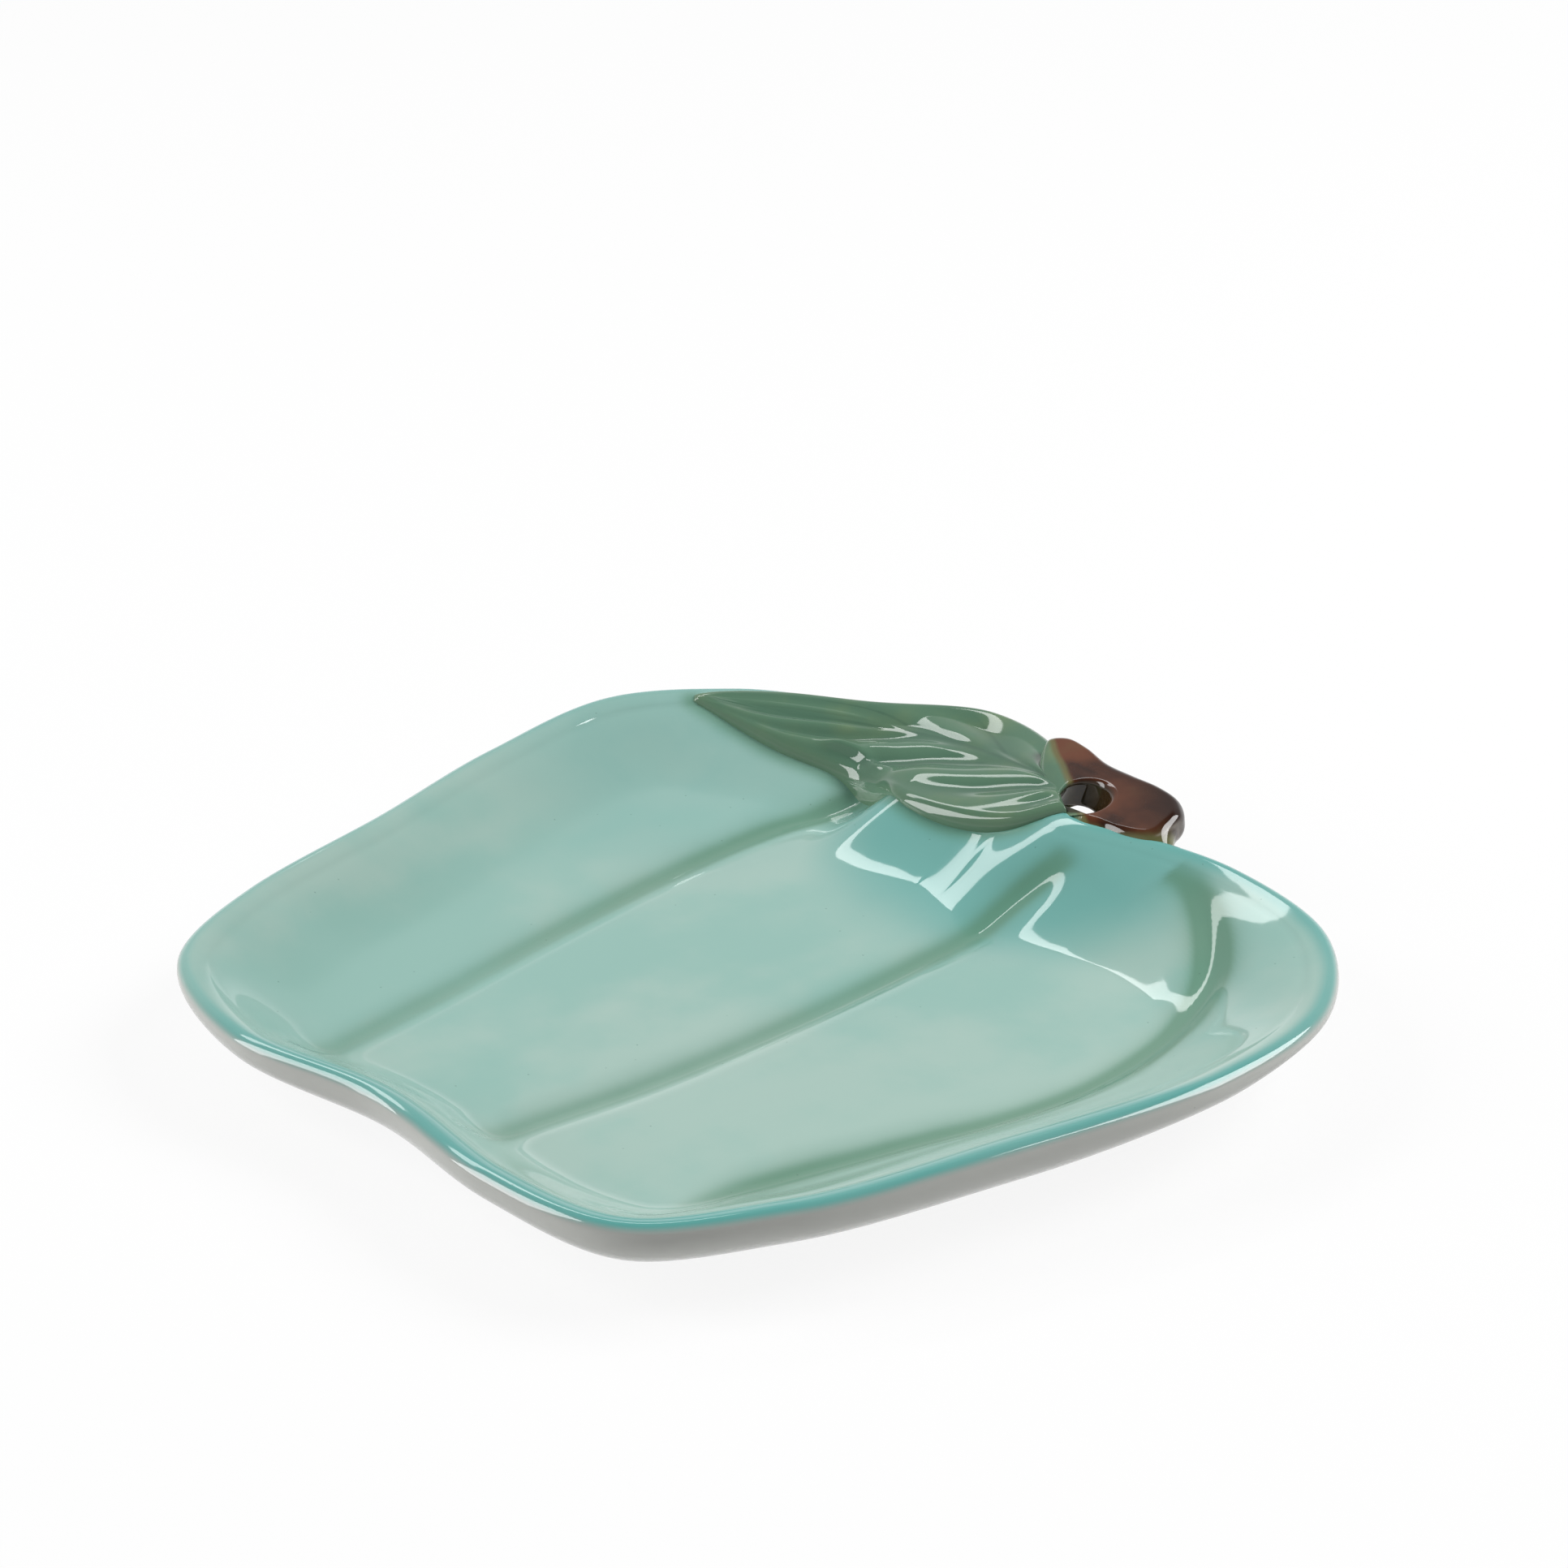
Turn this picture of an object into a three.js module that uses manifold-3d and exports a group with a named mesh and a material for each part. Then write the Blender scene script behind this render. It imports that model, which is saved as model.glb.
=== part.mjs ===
// A glazed ceramic plate in the shape of a bell pepper: a shallow dish with three grooves
// between its lobes, a foot ring, a leaf laid over one shoulder, and a stem with a hanging eye.
// Millimetres, +Z up, +Y from the blossom end to the stem.
import * as THREE from 'three';
import { mergeVertices } from 'three/addons/utils/BufferGeometryUtils.js';
import Module from 'manifold-3d';

const wasm = await Module();
wasm.setup();

// Dish
const dishWidth = 209;
const dishLength = 208;
const rimHeight = 22;
const lipThickness = 5.6;
const floorHeight = 9.2;
const baseHeight = 3.4;
const wallWidth = 30;
const bellyWidth = 30;
const coneWidth = 36;

// Bend of a wall that slopes straight and of one that is round
const slopePower = 1.15;
const bowlPower = 0.8;

// Grooves between the lobes
const pillowDepth = 1.2;
const pillowWidth = 26;
const valleyDepth = 1.3;
const valleyWidth = 7;

// Foot ring
const footWidth = 122;
const footLength = 116;
const footSetback = 6;
const footThickness = 4.6;
const footRounding = 1.3;

// Leaf
const leafThickness = 2.2;
const leafEdge = 0.9;
const leafMargin = 1;
const veinDepth = 0.7;
const stemCover = 1.2;

// Stem, which laps over the lip, and its hanging eye
const stemLength = 38;
const stemWidth = 20.4;
const stemLap = 2.1;
const stemThickness = 7;
const stemStand = 3.4;
const stemRise = 3.6;
const stemRounding = 2;
const stemRootDrop = 2;
const eyeDiameter = 11.6;
const eyeRounding = 1;
const eyeOffset = 3.8;

// Fit between neighbouring pieces, and how far a cutter or a blank runs past its work
const seamGap = 0.4;
const overrun = 1.5;

// Fineness of the curves and surfaces
const outlineSteps = 12;
const grooveSteps = 60;
const lobeColumns = 7;
const lobeRows = 26;
const lipSteps = 4;
const bellySteps = 9;
const footSteps = 72;
const footEdgeSteps = 2;
const leafRows = 36;
const leafColumns = 8;
const stemSteps = 16;
const stemSides = 24;
const endSteps = 3;
const eyeSides = 28;

const lipRadius = lipThickness / 2;
const lipInset = lipThickness + lipRadius / 2;
const halfWidth = dishWidth / 2;
const halfLength = dishLength / 2;
const stemMiddle = rimHeight + stemStand - stemThickness / 2;
const stemSlope = stemRise / stemWidth;
const { clamp, lerp } = THREE.MathUtils;

// Outline of the rim seen from above, clockwise from the dimple under the stem. Each point
// is a share of the half width, of the half length and of the rim's height, then how full
// the belly is below it (0 where it slopes straight down, 1 where it is round), and how wide
// the inner wall is, as a share of the wall width.
const outlineShares = [
  [0.077, 0.774, 1, 0.6, 1.05],
  [0.249, 0.812, 1, 0.4, 1.1],
  [0.459, 0.831, 1, 0.2, 1.1],
  [0.746, 0.752, 1, 0, 1.1],
  [0.945, 0.502, 1, 0, 1.1],
  [0.976, 0.178, 1, 0.55, 1.1],
  [0.874, -0.246, 0.99, 0.86, 1.05],
  [0.719, -0.69, 0.94, 0.86, 0.95],
  [0.524, -0.946, 0.9, 0.95, 0.85],
  [0.222, -0.992, 0.89, 0.8, 0.72],
  [-0.12, -0.948, 0.89, 1, 0.68],
  [-0.478, -0.992, 0.89, 0.78, 0.72],
  [-0.788, -0.875, 0.9, 0.6, 0.8],
  [-0.901, -0.613, 0.93, 0.5, 0.85],
  [-0.942, -0.264, 0.97, 0.42, 0.85],
  [-1.001, 0.115, 1, 0.45, 0.85],
  [-1.011, 0.471, 1, 0.4, 0.9],
  [-0.854, 0.707, 0.98, 0.4, 1],
  [-0.601, 0.881, 0.94, 0.4, 1],
  [-0.371, 1.021, 0.96, 0.4, 1],
  [-0.144, 0.975, 0.98, 0.5, 1],
  [-0.014, 0.827, 1, 0.6, 1.05],
];

// Places along the outline, counted in its points, where the corners and grooves meet it
const upperLeftShare = 17;
const upperRightShare = 25.2;
const lowerRightShare = 7.2;
const lowerLeftShare = 12.2;
const headShares = [18.4, 22.35, 23.4];
const tailShares = [10.9, 9.7, 8];

// Run of each groove from the stem end to the blossom end, how much of its run fades out at
// either end, and how much of the wall it climbs
const grooveShares = [
  [
    [-0.45, 0.692], [-0.498, 0.462], [-0.507, 0.144], [-0.488, -0.212], [-0.464, -0.5], [-0.45, -0.74],
  ],
  [
    [0.128, 0.635], [0.107, 0.538], [0.109, 0.327], [0.1, -0.048], [0.067, -0.433], [0.019, -0.692],
  ],
  [
    [0.411, 0.745], [0.526, 0.668], [0.612, 0.558], [0.66, 0.433], [0.679, 0.288],
    [0.679, 0.115], [0.632, -0.077], [0.555, -0.279], [0.455, -0.615],
  ],
];
const fadeShares = [[0.1, 0.13], [0.1, 0.12], [0.03, 0.14]];
const climbShare = 0.65;

// How far in under the belly its rings reach, and how they crowd towards the lip
const bellyReachShare = 0.45;
const bellyPower = 1.5;

// Midrib and near margin of the leaf, from its base by the eye to its tip inside the rim
const midribShares = [
  [-0.01, 0.822], [-0.115, 0.841], [-0.239, 0.856], [-0.364, 0.848],
  [-0.478, 0.803], [-0.593, 0.736], [-0.727, 0.669], [-0.848, 0.579],
];
const marginShares = [
  [0.062, 0.757], [-0.01, 0.702], [-0.124, 0.663], [-0.268, 0.656],
  [-0.392, 0.673], [-0.498, 0.66], [-0.66, 0.615], [-0.844, 0.572],
];

// Far margin of the leaf: its places on the outline, and where it leaves the rim for the tip
const leafBaseShare = 21.2;
const leafTipShare = 16.6;
const tipRunShare = 0.68;

// Side veins: places on the midrib, where the base ends and veins are full, sweep towards
// the tip, half width of a vein and of the midrib, how late the blade thins to its edge, and
// how far it bridges the groove below
const veinShares = [0.14, 0.28, 0.42, 0.56, 0.7];
const veinStartShare = 0.25;
const veinSweepShare = 0.1;
const veinHalfShare = 0.05;
const midribHalfShare = 0.2;
const edgePower = 4;
const bridgeShare = 0.6;

// Run of the stem from its root under the leaf to its cut end, as shares of its length from
// the dimple, its width there, how square its section is, how far the root stays down, and
// the place of the eye
const stemShares = [[-0.526, 0.158], [-0.329, 0.089], [-0.039, 0], [0.224, -0.032], [0.429, -0.042]];
const stemWidthShares = [0.5, 0.86, 1, 0.92, 0.7];
const sectionPower = 0.55;
const rootRunShare = 0.4;
const eyeShare = 0.5;

// Foot ring: a rounded trapezium that follows the belly
const footShares = [
  [0, 0.96], [0.72, 0.9], [1, 0.36], [0.86, -0.4], [0.5, -0.98], [-0.1, -0.95],
  [-0.72, -0.93], [-0.94, -0.35], [-1, 0.36], [-0.68, 0.95],
];

function planCurve(shares, closed, width, length) {
  const points = shares.map(([x, y]) => new THREE.Vector3(x * width, y * length, 0));
  return new THREE.CatmullRomCurve3(points, closed, 'centripetal');
}

const outline = planCurve(outlineShares, true, halfWidth, halfLength);
const outlineRun = outline.getPoints(outlineShares.length * outlineSteps);

function smooth(share) {
  const s = clamp(share, 0, 1);
  return s * s * (3 - 2 * s);
}

// Drop of a quarter circle below its top, as a share of its radius
function roundDrop(share) {
  return 1 - Math.sqrt(1 - clamp(share, 0, 1) ** 2);
}

// Nearest place on a run of points: how far it is, and how far along the run
function nearest(run, x, y) {
  let best = { distance: Infinity, along: 0 };
  for (let i = 0; i + 1 < run.length; i++) {
    const dx = run[i + 1].x - run[i].x;
    const dy = run[i + 1].y - run[i].y;
    const t = clamp(((x - run[i].x) * dx + (y - run[i].y) * dy) / (dx * dx + dy * dy), 0, 1);
    const distance = Math.hypot(x - run[i].x - dx * t, y - run[i].y - dy * t);
    if (distance < best.distance) best = { distance, along: (i + t) / (run.length - 1) };
  }
  return best;
}

// Point of the rim at a place counted in outline points, moved in from the edge
function rimPoint(place, inset) {
  const turn = (place / outlineShares.length) % 1;
  const point = outline.getPoint(turn);
  const tangent = outline.getTangent(turn);
  return new THREE.Vector3(point.x + tangent.y * inset, point.y - tangent.x * inset, 0);
}

// Height of the crest, fullness of the belly and width of the wall at a place on the outline
function rimSection(place) {
  const from = outlineShares[Math.floor(place) % outlineShares.length];
  const to = outlineShares[(Math.floor(place) + 1) % outlineShares.length];
  const blend = smooth(place - Math.floor(place));
  const [crestShare, fullness, wallShare] = [2, 3, 4].map((i) => lerp(from[i], to[i], blend));
  return { crest: rimHeight * crestShare, fullness, wall: wallWidth * wallShare };
}

function rimNear(x, y) {
  const { distance, along } = nearest(outlineRun, x, y);
  return { inset: distance, ...rimSection(along * outlineShares.length) };
}

function grooveCurve(index) {
  const head = rimPoint(headShares[index], lipInset);
  const tail = rimPoint(tailShares[index], lipInset);
  const run = planCurve(grooveShares[index], false, halfWidth, halfLength).points;
  return new THREE.CatmullRomCurve3([head, ...run, tail]);
}

const grooves = grooveShares.map((_, index) => grooveCurve(index));
const grooveRuns = grooves.map((curve) => curve.getPoints(grooveSteps));

// How far the grooves sink the floor: two pillows meeting in a narrow valley
function grooveDrop(x, y) {
  let drop = 0;
  grooveRuns.forEach((run, index) => {
    const { distance, along } = nearest(run, x, y);
    const [headFade, tailFade] = fadeShares[index];
    const fade = smooth(along / headFade) * smooth((1 - along) / tailFade);
    const pillow = pillowDepth * Math.max(0, 1 - distance / pillowWidth) ** 2;
    const valley = valleyDepth * Math.max(0, 1 - distance / valleyWidth) ** 2;
    drop = Math.max(drop, fade * (pillow + valley));
  });
  return drop;
}

// Height of the eating surface before the grooves: over the lip and down the wall to the floor
function bowlZ(x, y) {
  const { inset, crest, fullness, wall } = rimNear(x, y);
  const reach = clamp((inset - lipRadius) / wall, 0, 1);
  const fall = lerp(reach ** slopePower, smooth(reach ** bowlPower), fullness);
  const lip = lipRadius * roundDrop(1 - inset / lipRadius);
  return crest - lip - (crest - floorHeight) * fall;
}

// Height of the eating surface, whose grooves run out on the wall
function topZ(x, y) {
  const { inset, wall } = rimNear(x, y);
  return bowlZ(x, y) - grooveDrop(x, y) * smooth((inset - lipRadius) / (wall * climbShare));
}

// Height of the underside: from the edge of the lip down to the flat base
function undersideZ(x, y) {
  const { inset, crest, fullness } = rimNear(x, y);
  const share = Math.max(0, 1 - inset / lerp(coneWidth, bellyWidth, fullness));
  const rise = lerp(share ** slopePower, roundDrop(share), fullness);
  return lerp(baseHeight, crest - lipRadius, rise);
}

// Body from a list of vertices and triangles
function bodyGeometry(vertices, triangles) {
  const geometry = new THREE.BufferGeometry();
  geometry.setAttribute('position', new THREE.Float32BufferAttribute(vertices.flat(), 3));
  geometry.setIndex(triangles.flat());
  return geometry;
}

// Two triangles for each cell between two rings or two open rows of equal length
function joinRings(triangles, first, second, closed) {
  const count = closed ? first.length : first.length - 1;
  for (let i = 0; i < count; i++) {
    const j = (i + 1) % first.length;
    triangles.push([first[i], second[i], first[j]], [first[j], second[i], second[j]]);
  }
}

// Place on a patch spanned between its four edges
function patchPoint({ left, right, head, tail }, u, v) {
  const point = left(v).multiplyScalar(1 - u).addScaledVector(right(v), u);
  point.addScaledVector(head(u), 1 - v).addScaledVector(tail(u), v);
  point.addScaledVector(head(0), -(1 - u) * (1 - v)).addScaledVector(head(1), -u * (1 - v));
  return point.addScaledVector(tail(0), -(1 - u) * v).addScaledVector(tail(1), -u * v);
}

// The four lobes of the floor: each a patch from one groove to the next
function lobePatches() {
  const side = (from, to) => (v) => rimPoint(lerp(from, to, v), lipInset);
  const heads = [upperLeftShare, ...headShares, upperRightShare];
  const tails = [lowerLeftShare, ...tailShares, lowerRightShare];
  const lines = [
    side(upperLeftShare, lowerLeftShare),
    ...grooves.map((curve) => (v) => curve.getPoint(v)),
    side(upperRightShare - outlineShares.length, lowerRightShare),
  ];
  return lines.slice(1).map((line, lobe) => ({
    left: lines[lobe],
    right: line,
    head: side(heads[lobe], heads[lobe + 1]),
    tail: side(tails[lobe], tails[lobe + 1]),
    headPlace: (u) => lerp(heads[lobe], heads[lobe + 1], u),
    tailPlace: (u) => lerp(tails[lobe], tails[lobe + 1], u),
  }));
}

// Vertices of the lobed floor, in rows from the stem end to the blossom end
function floorGrid(patches, vertices) {
  const grid = Array.from({ length: lobeRows + 1 }, () => []);
  for (let column = 0; column <= patches.length * lobeColumns; column++) {
    const lobe = Math.min(Math.floor(column / lobeColumns), patches.length - 1);
    for (let row = 0; row <= lobeRows; row++) {
      const { x, y } = patchPoint(patches[lobe], column / lobeColumns - lobe, row / lobeRows);
      grid[row].push(vertices.push([x, y, topZ(x, y)]) - 1);
    }
  }
  return grid;
}

// The grid's edge, clockwise from its upper left corner, with its places on the outline
function gridEdge(patches, grid) {
  const last = patches.length * lobeColumns;
  const edge = [];
  for (let i = 0; i < last; i++) {
    const lobe = Math.floor(i / lobeColumns);
    edge.push([grid[0][i], patches[lobe].headPlace(i / lobeColumns - lobe)]);
  }
  for (let row = 0; row < lobeRows; row++) {
    const place = lerp(upperRightShare - outlineShares.length, lowerRightShare, row / lobeRows);
    edge.push([grid[row][last], place]);
  }
  for (let i = last; i > 0; i--) {
    const lobe = Math.ceil(i / lobeColumns) - 1;
    edge.push([grid[lobeRows][i], patches[lobe].tailPlace(i / lobeColumns - lobe)]);
  }
  for (let row = lobeRows; row > 0; row--) {
    edge.push([grid[row][0], lerp(upperLeftShare, lowerLeftShare, row / lobeRows)]);
  }
  return edge;
}

// Dish: the lobed floor, then rings up to the crest, round the lip and under the belly
function dishGeometry() {
  const vertices = [];
  const triangles = [];
  const patches = lobePatches();
  const grid = floorGrid(patches, vertices);
  for (let row = 0; row < lobeRows; row++) joinRings(triangles, grid[row], grid[row + 1], false);

  const edge = gridEdge(patches, grid);
  let previous = edge.map(([vertex]) => vertex);
  const addRing = (place) => {
    const ring = edge.map(([, at]) => vertices.push(place(at)) - 1);
    joinRings(triangles, ring, previous, true);
    previous = ring;
  };
  for (let step = 1; step <= lipSteps; step++) {
    const inset = lerp(lipInset, lipRadius, step / lipSteps);
    addRing((at) => {
      const { x, y } = rimPoint(at, inset);
      return [x, y, topZ(x, y)];
    });
  }
  for (let step = 1; step <= lipSteps; step++) {
    const turned = Math.sin((Math.PI / 2) * (step / lipSteps));
    addRing((at) => {
      const { x, y } = rimPoint(at, lipRadius * (1 - turned));
      return [x, y, rimSection(at).crest - lipRadius * roundDrop(turned)];
    });
  }
  for (let step = 1; step <= bellySteps; step++) {
    const inward = bellyReachShare * (step / bellySteps) ** bellyPower;
    addRing((at) => {
      const { x, y } = rimPoint(at, 0).multiplyScalar(1 - inward);
      return [x, y, undersideZ(x, y)];
    });
  }
  const centre = vertices.push([0, 0, baseHeight]) - 1;
  previous.forEach((vertex, i) => triangles.push([vertex, previous[(i + 1) % previous.length], centre]));
  return bodyGeometry(vertices, triangles);
}

// Foot ring, its section rounded where it stands and its top run past the dish's underside
function footGeometry() {
  const curve = planCurve(footShares, true, footWidth / 2, footLength / 2);
  const half = footThickness / 2;
  const top = baseHeight + overrun;
  const rounded = Array.from({ length: footEdgeSteps + 1 }, (_, step) => {
    const turned = (Math.PI / 2) * (step / footEdgeSteps);
    return [half - footRounding * (1 - Math.cos(turned)), footRounding * (1 - Math.sin(turned))];
  });
  const section = [[half, top], [-half, top], ...rounded.map(([across, z]) => [-across, z])];
  section.push(...rounded.reverse());
  const vertices = [];
  const triangles = [];
  const rings = section.map(([across, z]) => Array.from({ length: footSteps }, (_, i) => {
    const point = curve.getPoint(i / footSteps);
    const tangent = curve.getTangent(i / footSteps);
    const x = point.x - tangent.y * across;
    return vertices.push([x, point.y + tangent.x * across - footSetback, z]) - 1;
  }));
  rings.forEach((ring, i) => joinRings(triangles, ring, rings[(i + 1) % rings.length], true));
  return bodyGeometry(vertices, triangles);
}

// How far the leaf's face stands above its bed: thin at the margin, full inside, raised at
// the base to cover the stem's root, and sunk along the midrib and the veins
function leafHeight(along, across) {
  const out = Math.abs(across);
  const full = lerp(leafThickness, leafEdge, out ** edgePower);
  let sunk = 1 - out / midribHalfShare;
  for (const vein of veinShares) {
    const off = Math.abs(along - veinSweepShare * out - vein);
    sunk = Math.max(sunk, (1 - off / veinHalfShare) * (1 - out * out));
  }
  const spread = smooth(along / veinStartShare);
  return full + stemCover * (1 - spread) - veinDepth * smooth(sunk) * spread;
}

// Leaf draped over the shoulder, from the near margin over the midrib to the rim
function leafGeometry() {
  const midrib = planCurve(midribShares, false, halfWidth, halfLength);
  const margin = planCurve(marginShares, false, halfWidth, halfLength);
  const tip = midrib.getPoint(1).multiplyScalar(2).sub(margin.getPoint(1));
  const vertices = [];
  const triangles = [];
  const upper = [];
  const lower = [];
  for (let row = 0; row <= leafRows; row++) {
    const along = row / leafRows;
    const centre = midrib.getPoint(along);
    const near = margin.getPoint(along);
    const far = rimPoint(lerp(leafBaseShare, leafTipShare, along), leafMargin);
    far.lerp(tip, smooth((along - tipRunShare) / (1 - tipRunShare)));
    upper.push([]);
    lower.push([]);
    for (let column = -leafColumns; column <= leafColumns; column++) {
      const across = column / leafColumns;
      const { x, y } = centre.clone().lerp(across < 0 ? near : far, Math.abs(across));
      const skin = topZ(x, y);
      const bed = lerp(skin, bowlZ(x, y), bridgeShare);
      upper[row].push(vertices.push([x, y, bed + seamGap + leafHeight(along, across)]) - 1);
      lower[row].push(vertices.push([x, y, skin - overrun]) - 1);
    }
  }
  for (let row = 0; row < leafRows; row++) {
    joinRings(triangles, upper[row + 1], upper[row], false);
    joinRings(triangles, lower[row], lower[row + 1], false);
  }
  const last = 2 * leafColumns;
  const edge = (rows) => [
    ...rows[0].slice(0, last),
    ...rows.slice(0, leafRows).map((row) => row[last]),
    ...rows[leafRows].slice(1).reverse(),
    ...rows.slice(1).reverse().map((row) => row[0]),
  ];
  joinRings(triangles, edge(upper), edge(lower), true);
  return bodyGeometry(vertices, triangles);
}

// Run of the stem: beside the dimple, past the lip by all of its width but the lap
function stemCurve() {
  const dimple = rimPoint(0, 0);
  const beside = new THREE.Vector3(dimple.x, dimple.y + stemWidth / 2 - stemLap, 0);
  const points = planCurve(stemShares, false, stemLength, stemLength).points;
  return new THREE.CatmullRomCurve3(points.map((point) => point.add(beside)), false, 'centripetal');
}

// Width of the stem at a share of its run
function stemSpan(along) {
  const place = along * (stemWidthShares.length - 1);
  const from = Math.min(Math.floor(place), stemWidthShares.length - 2);
  return stemWidth * lerp(stemWidthShares[from], stemWidthShares[from + 1], smooth(place - from));
}

// Stem: a flattened bar along the rim, wide round the eye, tilted up towards its outer side
function stemGeometry() {
  const spine = stemCurve();
  const square = (value) => Math.sign(value) * Math.abs(value) ** sectionPower;
  const vertices = [];
  const triangles = [];
  const rings = [];
  const addSection = (along, turned) => {
    const beyond = stemRounding * Math.sin(turned);
    const shrink = stemRounding * (1 - Math.cos(turned));
    const half = stemSpan(along) / 2 - shrink;
    const thick = stemThickness / 2 - shrink;
    const level = stemMiddle - stemRootDrop * (1 - smooth(along / rootRunShare));
    const centre = spine.getPoint(along);
    const tangent = spine.getTangent(along);
    rings.push(Array.from({ length: stemSides }, (_, i) => {
      const turn = (2 * Math.PI * i) / stemSides;
      const across = half * square(Math.cos(turn));
      const x = centre.x + tangent.x * beyond - tangent.y * across;
      const y = centre.y + tangent.y * beyond + tangent.x * across;
      return vertices.push([x, y, level + stemSlope * across + thick * square(Math.sin(turn))]) - 1;
    }));
  };
  const endTurn = Math.PI / 2 / (endSteps + 1);
  for (let step = endSteps; step > 0; step--) addSection(0, -step * endTurn);
  for (let step = 0; step <= stemSteps; step++) addSection(step / stemSteps, 0);
  for (let step = 1; step <= endSteps; step++) addSection(1, step * endTurn);
  rings.slice(1).forEach((ring, i) => joinRings(triangles, ring, rings[i], true));
  const root = rings[0];
  const cut = rings[rings.length - 1];
  for (let i = 1; i + 1 < stemSides; i++) {
    triangles.push([root[0], root[i + 1], root[i]], [cut[0], cut[i], cut[i + 1]]);
  }
  return bodyGeometry(vertices, triangles);
}

// Cutter for the hanging eye: a bore square to the stem, with a rounded mouth at each face
function eyeGeometry() {
  const radius = eyeDiameter / 2;
  const face = stemThickness / 2;
  const end = face + leafThickness + overrun;
  const mouth = Array.from({ length: endSteps + 1 }, (_, step) => {
    const turned = (Math.PI / 2) * (step / endSteps);
    const out = radius + eyeRounding * (1 - Math.cos(turned));
    return new THREE.Vector2(out, face - eyeRounding * (1 - Math.sin(turned)));
  });
  const top = [...mouth, new THREE.Vector2(radius + eyeRounding, end)];
  const bottom = top.map(({ x, y }) => new THREE.Vector2(x, -y)).reverse();
  const profile = [new THREE.Vector2(0, -end), ...bottom, ...top, new THREE.Vector2(0, end)];
  const centre = stemCurve().getPoint(eyeShare);
  const cutter = new THREE.LatheGeometry(profile, eyeSides);
  cutter.rotateX(Math.PI / 2 + Math.atan(stemSlope));
  return cutter.translate(centre.x, centre.y - eyeOffset, stemMiddle - eyeOffset * stemSlope);
}

// Closed solid of a geometry, with its shared vertices merged
function solidOf(geometry) {
  const bare = geometry.clone();
  bare.deleteAttribute('normal');
  bare.deleteAttribute('uv');
  const merged = mergeVertices(bare);
  return new wasm.Manifold(new wasm.Mesh({
    numProp: 3,
    vertProperties: new Float32Array(merged.getAttribute('position').array),
    triVerts: new Uint32Array(merged.index.array),
  }));
}

function geometryOf(solid) {
  const { vertProperties, triVerts } = solid.getMesh();
  const geometry = new THREE.BufferGeometry();
  geometry.setAttribute('position', new THREE.BufferAttribute(vertProperties, 3));
  geometry.setIndex(new THREE.BufferAttribute(triVerts, 1));
  geometry.computeVertexNormals();
  return geometry;
}

// The same body with its surface moved outwards by the seam gap
function grown(geometry) {
  const body = geometry.clone();
  body.computeVertexNormals();
  const positions = body.getAttribute('position');
  const normals = body.getAttribute('normal');
  const point = new THREE.Vector3();
  const normal = new THREE.Vector3();
  for (let i = 0; i < positions.count; i++) {
    normal.fromBufferAttribute(normals, i);
    point.fromBufferAttribute(positions, i).addScaledVector(normal, seamGap);
    positions.setXYZ(i, point.x, point.y, point.z);
  }
  return solidOf(body);
}

const aquaGlaze = new THREE.MeshStandardMaterial({ color: 0x9fc8bf, roughness: 0.12, metalness: 0 });
const bareFoot = new THREE.MeshStandardMaterial({ color: 0xd9d6cc, roughness: 0.6, metalness: 0 });
const leafGlaze = new THREE.MeshStandardMaterial({ color: 0x6a9077, roughness: 0.14, metalness: 0 });
const stemGlaze = new THREE.MeshStandardMaterial({ color: 0x5f3b2c, roughness: 0.16, metalness: 0 });

const plate = new THREE.Group();

function addPiece(name, geometry, material) {
  const mesh = new THREE.Mesh(geometry, material);
  mesh.name = name;
  plate.add(mesh);
}

const dish = dishGeometry();
const leaf = leafGeometry();
const seat = grown(dish);
const eye = solidOf(eyeGeometry());
const stem = solidOf(stemGeometry()).subtract(eye).subtract(seat);
addPiece('dish_body', dish, aquaGlaze);
addPiece('foot_ring', geometryOf(solidOf(footGeometry()).subtract(seat)), bareFoot);
addPiece('leaf', geometryOf(solidOf(leaf).subtract(seat).subtract(eye)), leafGlaze);
addPiece('stem', geometryOf(stem.subtract(grown(leaf))), stemGlaze);

// The origin is under the middle of the plate
const bounds = new THREE.Box3().setFromObject(plate);
const middle = bounds.getCenter(new THREE.Vector3());
plate.position.set(-middle.x, -middle.y, -bounds.min.z);

export default plate;
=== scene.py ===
import math

import bpy
import numpy as np
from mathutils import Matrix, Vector


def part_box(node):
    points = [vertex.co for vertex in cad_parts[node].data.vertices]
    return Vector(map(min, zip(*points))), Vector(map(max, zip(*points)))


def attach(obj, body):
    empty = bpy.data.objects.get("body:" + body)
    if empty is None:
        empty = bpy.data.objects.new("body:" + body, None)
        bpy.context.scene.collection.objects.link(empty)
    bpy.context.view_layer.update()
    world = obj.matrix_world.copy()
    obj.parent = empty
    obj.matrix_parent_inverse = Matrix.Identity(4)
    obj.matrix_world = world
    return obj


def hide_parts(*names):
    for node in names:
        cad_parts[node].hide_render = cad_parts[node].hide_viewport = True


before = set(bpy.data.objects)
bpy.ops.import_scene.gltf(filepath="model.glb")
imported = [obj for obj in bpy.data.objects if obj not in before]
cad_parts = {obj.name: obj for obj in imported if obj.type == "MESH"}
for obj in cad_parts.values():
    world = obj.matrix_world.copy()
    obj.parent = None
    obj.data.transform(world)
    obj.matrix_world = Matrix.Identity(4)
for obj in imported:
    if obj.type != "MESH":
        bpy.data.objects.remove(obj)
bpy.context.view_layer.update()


# ---------------------------------------------------------------------------
# Dish
# A shallow dish of white clay pressed over a mould, with four lobes between
# three grooves and a rolled lip. Its top is dipped in a translucent aqua glaze
# that pools green in the grooves. The underside has a clear glaze, whose grey
# is partly painted shade.
# ---------------------------------------------------------------------------
MM = 0.001
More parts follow.
